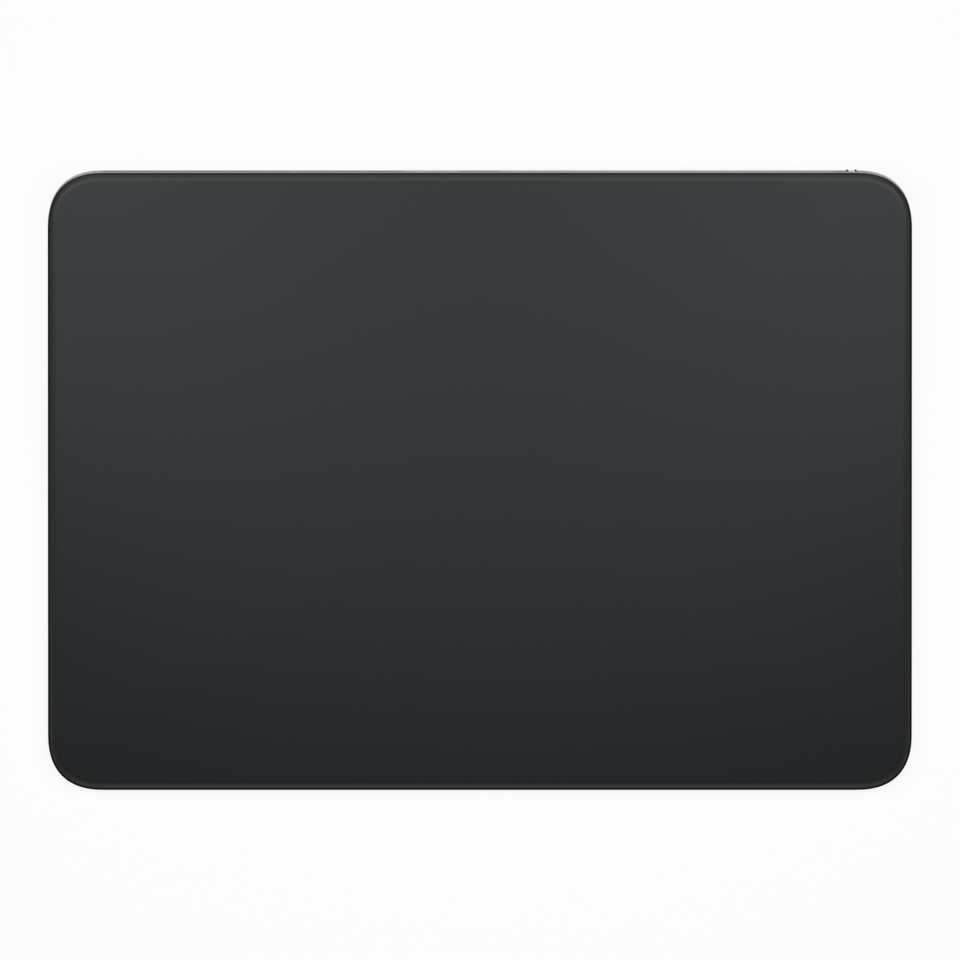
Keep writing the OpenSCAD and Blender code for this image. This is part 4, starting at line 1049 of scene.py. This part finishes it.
def make_capacitor_tree():
    """Chip capacitors on points: a ceramic body between two tinned end caps."""
    start, size = new_tree("chip_capacitors", "Length", "Width", "Height", "Cap", "Step", "Round")
    half = size["Length"] / 2
    inner = half - size["Cap"]
    whole = start.add("GeometryNodeJoinGeometry")
    for first, last, step, tin in ((inner * -CERAMIC_LAP, inner * CERAMIC_LAP, size["Step"], 0.0),
                                   (half * -1, inner * -1, 0.0, 1.0), (inner, half, 0.0, 1.0)):
        section = oblong(start, size["Width"] - step, size["Height"] - step)
        bar = swept(straight(start, spot(start, x=first), spot(start, x=last)),
                    eased_section(section, CERAMIC_STEPS, size["Round"]))
        bar = start.add("GeometryNodeStoreNamedAttribute",
                        sockets={"Geometry": bar, "Name": "tin", "Value": tin})
        start.tree.links.new(bar.socket, whole.socket.node.inputs["Geometry"])
    return close_tree(whole, size)


def ceramic_and_tin(place):
    """Fired tan ceramic, and dull tin where the end caps are."""
    tin = place.add("ShaderNodeAttribute", {"attribute_name": "tin"}, out="Fac")
    grain = noise(place, 8000.0)
    return {"Base Color": blend(tin, (0.42, 0.27, 0.14), (0.70, 0.70, 0.69)),
            "Metallic": tin,
            "Roughness": 0.55 - tin * 0.25 + grain * 0.1,
            "Normal": bumps(grain, 0.15, 0.01 * mm)}


def make_pin_tree():
    """Solder tails on points: short strips that run out flat on the board."""
    start, size = new_tree("connector_pins", "Reach", "Width", "Thickness")
    path = straight(start, spot(start, y=size["Reach"] * -0.5), spot(start, y=size["Reach"] * 0.5))
    section = oblong(start, size["Width"], size["Thickness"])
    return close_tree(swept(path, eased_section(section, PIN_STEPS, size["Thickness"] * PIN_ROUND)), size)


# Natural nylon, faintly uneven in tone.
cream_finish = new_finish("natural_nylon", {"IOR": 1.5}, grained(
    tone=(240.0,), colours=((0.62, 0.57, 0.46), (0.70, 0.65, 0.54)),
    dull=(0.4, 0.15), grain=(3600.0,), bump=(0.12, 0.01 * mm)))
board_finish = new_finish("solder_mask", {"IOR": 1.55, "Coat Weight": 0.4}, solder_mask)
can_finish = new_finish("pierced_can", {"Metallic": 1.0}, pierced_can)
capacitor_finish = new_finish("ceramic_and_tin", {"IOR": 1.5}, ceramic_and_tin)
repaint("logic_board", board_finish)
dress_refined("chip_packages", "logic_chips", CHIP_BREAK, black_finish)
dress_refined("drawn_can", "shield_can", CAN_BREAK, can_finish, segments=4)
capacitor_boxes = islands("logic_passives")
capacitor_size = capacitor_boxes[0].size
capacitors = grow(make_capacitor_tree(), capacitor_finish, {
    "Length": capacitor_size.x, "Width": capacitor_size.y, "Height": capacitor_size.z,
    "Cap": CAP_LENGTH, "Step": CERAMIC_STEP, "Round": CERAMIC_STEP}, [box.middle for box in capacitor_boxes])
dress("chip_capacitors", sloped(capacitors), "logic_passives", capacitor_finish)

board_level = slope_box("logic_board").middle.z
connector_bodies = []
pin_points = []
tail = Vector((0.0, PIN_REACH, 0.0))
for low, high, _, middle in islands("board_connectors"):
    connector_bodies.append(soft_block(low + tail, high - tail, CONNECTOR_BREAK))
    level = low.z + PIN_THICK / 2 if low.z > board_level else high.z - PIN_THICK / 2
    count = int((high.x - low.x) / PIN_PITCH) - 1
    for k in range(count):
        x = middle.x + (k - (count - 1) / 2) * PIN_PITCH
        pin_points += [(x, low.y + PIN_REACH / 2, level), (x, high.y - PIN_REACH / 2, level)]
dress("connector_housings", sloped(join(connector_bodies)), "board_connectors",
      cream_finish)
pins = grow(make_pin_tree(), tin_finish,
            {"Reach": PIN_REACH, "Width": PIN_WIDTH, "Thickness": PIN_THICK}, pin_points)
dress("connector_pins", sloped(pins), "board_connectors", tin_finish)


# Battery: a flat lithium pouch with softly rounded edges, taped under the web in front of the board.
# A guard board at its right end carries three wires to the logic board.
POUCH_ROUND = 0.9 * mm
POUCH_CORNER = 2.2 * mm
POUCH_POWER = 2.2
WIRE_HALF_WIDTH = 0.4 * mm
WIRE_HALF_THICK = 0.2 * mm
WIRE_BEND = 0.56
WIRE_STEPS = 28
WIRE_SIDES = 16


def pouch_foil(place):
    """Laminated aluminium foil: dull, faintly wrinkled and a little dented."""
    wrinkle = noise(place, 130.0, 5.0)
    return {"Base Color": blend(wrinkle, (0.070, 0.074, 0.082), (0.105, 0.110, 0.118)),
            "Roughness": 0.38 + noise(place, 3000.0) * 0.1 + wrinkle * 0.08,
            "Normal": bumps(wrinkle, 0.25, 0.15 * mm)}


def round_section(start, radius, steps):
    """A round section."""
    return start.add("GeometryNodeCurvePrimitiveCircle", {"mode": "RADIUS"},
                     {"Resolution": steps, "Radius": radius})


def make_wire_tree():
    """Flat insulated wires on points, each in one easy bend from the guard board to its connector."""
    start, size = new_tree("battery_wires", "Length", "Drop", "Bend", "Half Width", "Half Thickness")
    fall = size["Drop"] * -1
    path = start.add("GeometryNodeCurvePrimitiveBezierSegment", {"mode": "POSITION"}, {
        "Resolution": WIRE_STEPS, "Start": spot(start), "Start Handle": spot(start, y=size["Bend"]),
        "End Handle": spot(start, y=size["Bend"], z=fall), "End": spot(start, y=size["Length"], z=fall)})
    section = start.add("GeometryNodeTransform", sockets={
        "Geometry": round_section(start, 1.0, WIRE_SIDES),
        "Scale": spot(start, size["Half Width"], size["Half Thickness"], 1.0)})
    return close_tree(swept(path, section), size)


pouch_finish = new_finish("pouch_foil", {"Metallic": 0.7}, pouch_foil)
cell = slope_box("battery_cell")
pouch = grow(wedge_tree, pouch_finish, {
    "Width": cell.size.x, "Depth": cell.size.y, "Middle": 0.0,
    "Corner Reach": POUCH_CORNER, "Corner Power": POUCH_POWER, "Low": cell.low.z, "Low Slope": 0.0,
    "Low Radius": POUCH_ROUND, "High": cell.high.z, "Edge Width": POUCH_ROUND, "Edge Height": POUCH_ROUND})
pouch.transform(Matrix.Translation((cell.middle.x, cell.middle.y, 0.0)))
dress("pouch_cell", sloped(pouch), "battery_cell", pouch_finish)
repaint("battery_tape", tape_finish)
repaint("battery_board", board_finish)
# Soft red insulation.
wire_finish = new_finish("wire_cover", {"IOR": 1.48}, grained(
    tone=(300.0,), colours=((0.30, 0.018, 0.016), (0.40, 0.03, 0.026)), dull=(0.4, 0.12), grain=(4000.0,)))
wire_boxes = islands("battery_lead")
wire_size = wire_boxes[0].size
wires = grow(make_wire_tree(), wire_finish, {
    "Length": wire_size.y, "Drop": wire_size.z - 2 * WIRE_HALF_THICK, "Bend": wire_size.y * WIRE_BEND,
    "Half Width": WIRE_HALF_WIDTH, "Half Thickness": WIRE_HALF_THICK},
    [(box.middle.x, box.low.y, box.high.z - WIRE_HALF_THICK) for box in wire_boxes])
dress("battery_wires", sloped(wires), "battery_lead", wire_finish)


# Click actuator: a steel frame with two wound coils on iron cores, and below them a tungsten mass with
# two magnets that hangs on leaf springs. A pulse in the coils kicks the mass from side to side.
COIL_TURNS = 12
COIL_BAND = 3.6 * mm
COIL_WIRE = 0.12 * mm
COIL_STEPS = 24
COIL_LAYERS = 2
COIL_SIDES = 8
SHEET_THICK = 0.1 * mm
FRAME_BREAK = 0.1 * mm
CORE_BREAK = 0.06 * mm
MASS_BREAK = 0.12 * mm
MAGNET_BREAK = 0.1 * mm
LEAF_THICK = 0.25 * mm
LEAF_REACH = 3.0 * mm
LEAF_PAD = 2.0 * mm
LEAF_BREAK = 0.1 * mm
LEAF_OUTER = 0.6 * mm
LEAF_INNER = 0.35 * mm
BEND_CUTS = 12


def make_coil_tree():
    """A coil on each point: wire laid in a spiral round a rectangle, one layer over the other."""
    start, size = new_tree("wound_coils", "Inner Width", "Inner Depth", "Band", "Wire Radius", "Level Step")
    count = COIL_TURNS * COIL_STEPS + 1
    line = start.add("GeometryNodeMeshLine", sockets={"Count": count})
    share = start.add("GeometryNodeInputIndex") / (count - 1)
    angle = share * (2 * math.pi * COIL_TURNS) + math.pi / COIL_STEPS
    reach = size["Wire Radius"] + share * (size["Band"] - size["Wire Radius"] * 2)
    cosine, sine = angle.math("COSINE"), angle.math("SINE")
    place = spot(start, cosine.math("SIGN") * size["Inner Width"] / 2 + reach * cosine,
                 sine.math("SIGN") * size["Inner Depth"] / 2 + reach * sine)
    path = start.add("GeometryNodeSetPosition", sockets={"Geometry": line, "Position": place})
    path = start.add("GeometryNodeMeshToCurve", sockets={"Mesh": path})
    layer = swept(path, round_section(start, size["Wire Radius"], COIL_SIDES))
    stack = start.add("GeometryNodeMeshLine", sockets={
        "Count": COIL_LAYERS, "Start Location": spot(start, z=size["Level Step"] * -0.5),
        "Offset": spot(start, z=size["Level Step"])})
    coil = start.add("GeometryNodeInstanceOnPoints", sockets={"Points": stack, "Instance": layer})
    return close_tree(coil, size)


def laminated_iron(place):
    """A stack of thin iron sheets, seen on edge as fine lines."""
    sheet = lanes(along(place, "Z"), SHEET_THICK)
    return {"Base Color": blend(noise(place, 1200.0), (0.16, 0.16, 0.165), (0.24, 0.24, 0.245)),
            "Roughness": 0.4 + sheet * 0.2,
            "Normal": bumps(sheet, 0.3, 0.02 * mm)}


# Rolled steel strip: fine lines along the sheet and a dull shine.
strip_finish = new_finish("spring_strip", {"Metallic": 1.0}, grained(
    tone=(220.0,), colours=((0.42, 0.42, 0.43), (0.50, 0.50, 0.51)),
    dull=(0.28, 0.16), grain=(5000.0, 2.0, (1.0, 0.05, 1.0)), bump=(0.08, 0.01 * mm)))
core_finish = new_finish("laminated_iron", {"Metallic": 1.0}, laminated_iron)
# Pressed and sintered tungsten: dense, dull and very slightly pitted.
mass_finish = new_finish("sintered_tungsten", {"Metallic": 1.0}, grained(
    tone=(4200.0, 4.0), colours=((0.26, 0.26, 0.265), (0.36, 0.36, 0.365)),
    dull=(0.36, 0.2), bump=(0.15, 0.02 * mm)))
# Bright nickel plating with a faint haze, and copper wire under clear enamel.
magnet_finish = new_finish("nickel_plate", {"Metallic": 1.0}, grained(
    tone=(700.0,), colours=((0.66, 0.63, 0.57), (0.74, 0.71, 0.66)), dull=(0.14, 0.12)))
copper_finish = new_finish("enamelled_copper", {"Metallic": 1.0, "Coat Weight": 0.5}, grained(
    tone=(900.0,), colours=((0.55, 0.20, 0.07), (0.72, 0.30, 0.12)), dull=(0.25, 0.12)))
coil_boxes = islands("haptic_coils")
coil_size = coil_boxes[0].size
coils = grow(make_coil_tree(), copper_finish, {
    "Inner Width": coil_size.x - 2 * COIL_BAND, "Inner Depth": coil_size.y - 2 * COIL_BAND, "Band": COIL_BAND,
    "Wire Radius": COIL_WIRE, "Level Step": coil_size.z - 2 * COIL_WIRE}, [box.middle for box in coil_boxes])
dress("coil_windings", sloped(coils), "haptic_coils", copper_finish)
dress_refined("actuator_frame", "haptic_frame", FRAME_BREAK, strip_finish)
dress_refined("iron_cores", "haptic_cores", CORE_BREAK, core_finish)
dress_refined("tungsten_mass", "haptic_mass", MASS_BREAK, mass_finish, "click_mass")
dress_refined("plated_magnets", "haptic_magnets", MAGNET_BREAK, magnet_finish, "click_mass",
              segments=3)
repaint("haptic_flex", cable_finish)


def eased(turns, steps=5):
    """A plan whose square corners are rounded: each turn has a place and a radius."""
    plan = []
    for k, (x, v, radius) in enumerate(turns):
        corner = Vector((x, v))
        back = (Vector(turns[k - 1][:2]) - corner).normalized()
        onward = (Vector(turns[(k + 1) % len(turns)][:2]) - corner).normalized()
        for j in range(steps + 1):
            turn = math.pi / 2 * j / steps
            plan.append(corner + radius * (back * (1 - math.sin(turn)) + onward * (1 - math.cos(turn))))
    return plan


def bend_between(piece, start, end):
    """Cuts rows across a strip between two places, enough for it to bend smoothly, and bakes its place into
    its mesh.
    """
    strip = bmesh.new()
    strip.from_mesh(piece.data)
    for k in range(BEND_CUTS + 1):
        bmesh.ops.bisect_plane(strip, geom=strip.verts[:] + strip.edges[:] + strip.faces[:],
                               dist=SAME_SPOT / 10, plane_co=start.lerp(end, k / BEND_CUTS),
                               plane_no=end - start)
    stored(strip, piece.data)
    tuple(start)
    tuple(end)
    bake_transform(piece)


leaf = islands("haptic_springs")[1]
leaf_half = leaf.size.y / 2
leaf_root = leaf_half - LEAF_PAD
near = leaf.low.x + LEAF_REACH
far = near + LEAF_THICK
leaf_turns = [(leaf.low.x, -leaf_half, LEAF_BREAK), (far, -leaf_half, LEAF_OUTER),
              (far, leaf_root, LEAF_INNER), (leaf.high.x, leaf_root, LEAF_BREAK),
              (leaf.high.x, leaf_half, LEAF_BREAK), (near, leaf_half, LEAF_OUTER),
              (near, -leaf_root, LEAF_INNER), (leaf.low.x, -leaf_root, LEAF_BREAK)]
for side, hand in ((-1, "left"), (1, "right")):
    plan = [side * point for point in eased(leaf_turns)]
    strip = sloped(prism(plan, leaf.low.z, leaf.high.z, (0.0, leaf.middle.y)))
    spring = dress("leaf_spring_" + hand, strip, "haptic_springs", strip_finish, None)
    fixed, moved = (on_slope @ Vector((side * near, leaf.middle.y + side * reach, leaf.low.z))
                    for reach in (leaf_root, -leaf_root))
    bend_between(spring, fixed, moved)


# Press sensing: at each corner a thin steel flexure carries a foot, and foil gauges on it feel the bend.
# Two screws clamp each flexure under the web, and film cables collect the gauges' signals.
CORNERS = ("front_left", "front_right", "rear_left", "rear_right")
GAUGE_PITCH = 0.4 * mm
GAUGE_HALF = 0.2
FLEXURE_BREAK = 0.05 * mm
FLEXURE_BEND = 4.2 * mm


def gauge_foil(place):
    """A foil gauge: fine metal lines back and forth under amber film."""
    lane = lanes(along(place, "X"), GAUGE_PITCH) < GAUGE_HALF
    return {"Base Color": blend(lane, (0.40, 0.17, 0.03), (0.62, 0.58, 0.50)),
            "Roughness": 0.3 + noise(place, 2000.0) * 0.12,
            "Normal": bumps(lane, 0.3, 0.01 * mm)}


repaint("strain_gauges", new_finish("gauge_foil", FILM_SHINE, gauge_foil))
repaint("force_flex", cable_finish)
for corner in CORNERS:
    flexure = dress_refined("flexure_strip_" + corner, "flexure_" + corner, FLEXURE_BREAK,
                            strip_finish, None)
    plunger = level_box("foot_plunger_" + corner)
    toward = math.copysign(1.0, plunger.low.y)
    foot = Vector((plunger.low.x, plunger.middle.y - toward * plunger.size.y / 2, plunger.high.z))
    bend_between(flexure, foot - Vector((0.0, toward * FLEXURE_BEND, 0.0)), foot)


# Screws: small blackened machine screws with flat heads and hexagon sockets. They hold the board, the
# socket's bracket, the actuator and the flexures to the bosses under the web.
HEAD_RADIUS = 1.4 * mm
HEAD_HEIGHT = 0.4 * mm
HEAD_BREAK = 0.08 * mm
DRIVE_RADIUS = 0.55 * mm
DRIVE_DEPTH = 0.25 * mm
THREAD_PITCH = 0.3 * mm
THREAD_DEPTH = 0.09 * mm
THREAD_RINGS = 28
THREAD_FROM = 7
SCREW_STEPS = 30


def turned_about(grid, radius, angle, level):
    """A skin whose points lie at their radius and level round an upright axis."""
    return wrapped(grid, radius * angle.math("COSINE"), radius * angle.math("SINE"), level)


def make_screw_tree():
    """Screws on points, heads down: a hexagon socket, a broken head edge and a cut thread."""
    start, size = new_tree("machine_screws", "Length", "Head Radius", "Head Height", "Break", "Drive Radius",
                           "Drive Depth", "Shank Radius", "Pitch", "Thread Depth")
    length, head, head_height = size["Length"], size["Head Radius"], size["Head Height"]
    chamfer, depth, shank = size["Break"], size["Drive Depth"], size["Shank Radius"]
    grid, ring, step = flat_skin(start, THREAD_FROM + THREAD_RINGS + 2, SCREW_STEPS + 1)
    angle = step * (2 * math.pi / SCREW_STEPS)
    flat = ((angle % (math.pi / 3)) - math.pi / 6).math("COSINE")
    drive = size["Drive Radius"] * math.cos(math.pi / 6) / flat
    climb = share_of(ring - THREAD_FROM, THREAD_RINGS - 1)
    thread_level = head_height + climb * (length - head_height - chamfer * 2)
    tooth = lanes(thread_level / size["Pitch"] - angle / (2 * math.pi), 1.0) * 2
    thread = shank - size["Thread Depth"] * tooth
    none = length * 0.0
    stages = [(0, none, depth), (1, drive, depth), (2, drive, none), (3, head - chamfer, none),
              (4, head, chamfer), (5, head, head_height), (6, shank, head_height),
              (THREAD_FROM, thread, thread_level), (THREAD_FROM + THREAD_RINGS, shank - chamfer * 2, length),
              (THREAD_FROM + THREAD_RINGS + 1, none, length)]
    _, radius, level = stages[0]
    for first, next_radius, next_level in stages[1:]:
        past = ring > first - 0.5
        radius = radius + past * (next_radius - radius)
        level = level + past * (next_level - level)
    return close_tree(turned_about(grid, radius, angle, level), size)


# Blackened steel, worn a little brighter in places.
screw_finish = new_finish("black_oxide", {"Metallic": 1.0}, grained(
    tone=(1500.0, 4.0), colours=((0.10, 0.10, 0.105), (0.20, 0.20, 0.205)), dull=(0.3, 0.2)))
screw_tree = make_screw_tree()
FIXINGS = ("board_fixings", "bracket_fixings", "actuator_fixings", "flexure_fixings")
for name, (node, _, onto) in zip(FIXINGS, BOSSES):
    boxes = islands(node, onto.inverted())
    batches = []
    for length in sorted({round(box.size.z, 6) for box in boxes}):
        batches.append(grow(screw_tree, screw_finish, {
            "Length": length, "Head Radius": HEAD_RADIUS, "Head Height": HEAD_HEIGHT, "Break": HEAD_BREAK,
            "Drive Radius": DRIVE_RADIUS, "Drive Depth": DRIVE_DEPTH, "Shank Radius": SCREW_RADIUS,
            "Pitch": THREAD_PITCH, "Thread Depth": THREAD_DEPTH},
            [(box.middle.x, box.middle.y, box.low.z) for box in boxes if round(box.size.z, 6) == length]))
    screws = join(batches)
    screws.transform(onto)
    dress(name, screws, node, screw_finish)


# Feet: rubber pads, moulded with a rounded rim and shallow grip rings, each bonded to a nylon plunger
# that carries the press up to its flexure through a hole in the cover.
FOOT_STEPS = 64
PAD_ROUND = 0.35 * mm
PAD_TOP_ROUND = 0.15 * mm
GROOVE_RADII = (2.1 * mm, 3.3 * mm)
GROOVE_HALF = 0.25 * mm
GROOVE_DEPTH = 0.12 * mm
PLUNGER_BREAK = 0.1 * mm


def turned(name, finish, profile, place):
    """A turned shape that stands on a place: a closed skin through rings of a radius and a level each."""
    sizes = {}
    for k, (radius, level) in enumerate(profile):
        sizes[f"Radius {k}"] = radius
        sizes[f"Level {k}"] = level
    start, size = new_tree(name, *sizes)
    grid, ring, step = flat_skin(start, len(profile) + 2, FOOT_STEPS + 1)
    radius = size["Radius 0"] * 0.0
    level = size["Level 0"]
    for k in range(len(profile)):
        past = ring > k + 0.5
        radius = radius + past * (ring < k + 1.5) * size[f"Radius {k}"]
        level = level + past * (size[f"Level {k}"] - size[f"Level {max(k - 1, 0)}"])
    skin = turned_about(grid, radius, step * (2 * math.pi / FOOT_STEPS), level)
    return grow(close_tree(skin, size), finish, sizes, [place])


# Soft rubber: matt, with a fine mould texture and traces of dust.
rubber_finish = new_finish("foot_rubber_finish", {"IOR": 1.45}, grained(
    tone=(260.0, 4.0), colours=((0.055, 0.056, 0.058), (0.085, 0.086, 0.088)),
    dull=(0.72, 0.16), grain=(4200.0, 4.0), bump=(0.25, 0.03 * mm)))
for corner in CORNERS:
    pad = level_box("foot_pad_" + corner)
    plunger = level_box("foot_plunger_" + corner)
    pad_radius = pad.size.x / 2
    stem_radius = plunger.size.x / 2
    pad_profile = [(radius + share * GROOVE_HALF, depth) for radius in GROOVE_RADII
                   for share, depth in ((-1, 0.0), (-0.5, GROOVE_DEPTH), (0.5, GROOVE_DEPTH), (1, 0.0))]
    pad_profile += [(pad_radius - PAD_ROUND + rise, inset) for inset, rise in quarter_round(PAD_ROUND)]
    pad_profile += [(pad_radius - inset, pad.high.z - PAD_TOP_ROUND + rise)
                    for inset, rise in quarter_round(PAD_TOP_ROUND)]
    stem_profile = [(stem_radius - PLUNGER_BREAK, plunger.low.z),
                    (stem_radius, plunger.low.z + PLUNGER_BREAK),
                    (stem_radius, plunger.high.z - PLUNGER_BREAK),
                    (stem_radius - PLUNGER_BREAK, plunger.high.z)]
    foot = (pad.middle.x, pad.middle.y, 0.0)
    dress("rubber_pad_" + corner, turned("turned_pad", rubber_finish, pad_profile, foot),
          "foot_pad_" + corner, rubber_finish, "foot_" + corner)
    dress("nylon_plunger_" + corner, turned("turned_plunger", cream_finish, stem_profile, foot),
          "foot_plunger_" + corner, cream_finish, "foot_" + corner)


# Bottom cover: an aluminium sheet, blanked, edge-broken and anodised grey, with four holes for the
# feet. It is bonded into the housing on a thin foam gasket.
FOOT_HOLE = 5.3 * mm
COVER_BREAK = 0.15 * mm
COVER_STEPS = 16


def foam(place):
    """Closed-cell foam."""
    cells = place.add("ShaderNodeTexVoronoi", sockets={"Vector": place, "Scale": 5000.0})
    return {"Base Color": blend(cells, (0.10, 0.10, 0.11), (0.17, 0.17, 0.18)),
            "Roughness": 0.8 + cells * 0.15,
            "Normal": bumps(cells, 0.4, 0.05 * mm)}


def cover_outline(inset):
    """The outline of the cover, drawn in all round."""
    return rounded_rect(cover.size.x - 2 * inset, cover.size.y - 2 * inset,
                        COVER_CORNER - COVER_PLAY - inset, COVER_STEPS)


repaint("cover_gasket", new_finish("gasket_foam", {"IOR": 1.4}, foam))
cover_mesh = stacked(cover.middle, [(cover_outline(COVER_BREAK), cover.low.z),
                                    (cover_outline(0.0), cover.low.z + COVER_BREAK),
                                    (cover_outline(0.0), cover.high.z)])
wide_hole, hole = circle(FOOT_HOLE + COVER_BREAK, FOOT_STEPS), circle(FOOT_HOLE, FOOT_STEPS)
holes = [stacked(level_box("foot_pad_" + corner).middle, [
    (wide_hole, cover.low.z - OVER), (wide_hole, cover.low.z), (hole, cover.low.z + COVER_BREAK),
    (hole, cover.high.z + OVER)]) for corner in CORNERS]
# Fine blasted texture on grey anodised sheet, with a faint rolling direction.
cover_finish = new_finish("grey_anodised_sheet", {"Metallic": 1.0}, grained(
    tone=(1600.0, 2.0, (0.03, 1.0, 1.0)), colours=((0.54, 0.55, 0.56), (0.60, 0.61, 0.62)),
    dull=(0.36, 0.14), grain=(6000.0,), bump=(0.12, 0.02 * mm)))
dress("cover_plate", carve(cover_mesh, join(holes)), "bottom_cover", cover_finish)


# Touch glass: one sheet of chemically etched black glass with a ground and polished edge, bonded over
# the whole top. Its face is matt, so it only picks up soft light.
GLASS_EDGE_WIDTH = 1.8 * mm
GLASS_EDGE_HEIGHT = 0.55 * mm
GLASS_FOOT = 0.1 * mm
GLASS_SETBACK = 0.095 * mm
GLASS_SHINE = {"IOR": 1.216, "Coat IOR": 1.5, "Coat Roughness": 0.25,
               "Specular Tint": (0.93, 0.985, 1.0, 1.0)}
GROUND_FROM = 0.2 * mm
GROUND_TO = 0.24 * mm
GROUND_COLOUR = (0.008, 0.008, 0.009, 1.0)
GROUND_DULL = 0.5
POLISH_FROM = 0.01 * mm
POLISH_TO = 0.2 * mm
POLISH = 0.56
# Painted light: from here to the rear the dark ground band fades, so the rear edge stays glossy and lighter.
REAR_FROM = 45.0 * mm
REAR_LIT_SHARE = 0.85

glass = slope_box("touch_glass")


def etched_glass(place):
    """Etched glass: an even fine sparkle, a little more open in places. Down the edge it has a polish coat
    and then a dark, matt ground band. Along the rear the band mostly fades away: painted light, which leaves
    the rear edge glossy and lighter where the light falls on it."""
    etch = noise(place, 11000.0, 1.0)
    patch = noise(place, 30.0, 3.0)
    toward_rear = along(place, "Y")
    depth = glass.high.z + toward_rear * math.sin(tilt) - along(place, "Z") * math.cos(tilt)
    # Painted light: the ground band is faded out towards the rear, where the light falls on the edge.
    rear_lit = ramp(toward_rear, REAR_FROM, glass.high.y, REAR_LIT_SHARE)
    ground = ramp(depth, GROUND_FROM, GROUND_TO) * (1 - rear_lit)
    face = Wire(place.tree, place.tree.nodes["Principled BSDF"].outputs["BSDF"])
    edge = place.add("ShaderNodeBsdfDiffuse", sockets={"Color": GROUND_COLOUR, "Roughness": GROUND_DULL})
    show(place.add("ShaderNodeMixShader", sockets={0: ground, 1: face, 2: edge}))
    return {"Base Color": blend(patch, (0.0012, 0.0020, 0.0026), (0.0016, 0.0024, 0.0030)),
            "Coat Weight": ramp(depth, POLISH_FROM, POLISH_TO, POLISH),
            "Roughness": 0.23 + etch * 0.04 + patch * 0.01,
            "Normal": bumps(etch, 0.02, 0.01 * mm)}


glass_finish = new_finish("etched_black_glass", GLASS_SHINE, etched_glass)
sheet = sloped(grow(wedge_tree, glass_finish, {
    "Width": glass.size.x, "Depth": glass.size.y - GLASS_SETBACK,
    "Middle": glass.middle.y - GLASS_SETBACK / 2, "Low": glass.low.z, "Low Slope": 0.0,
    "Corner Reach": CORNER_REACH, "Corner Power": CORNER_POWER,
    "Low Radius": GLASS_FOOT, "High": glass.high.z, "Edge Width": GLASS_EDGE_WIDTH,
    "Edge Height": GLASS_EDGE_HEIGHT}))
dress("glass_sheet", sheet, "touch_glass", glass_finish)


# The box of the CAD model and the box of the dressed part, listed side by side.
[[list(corner) for corner in box] for box in (cad_box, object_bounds())]
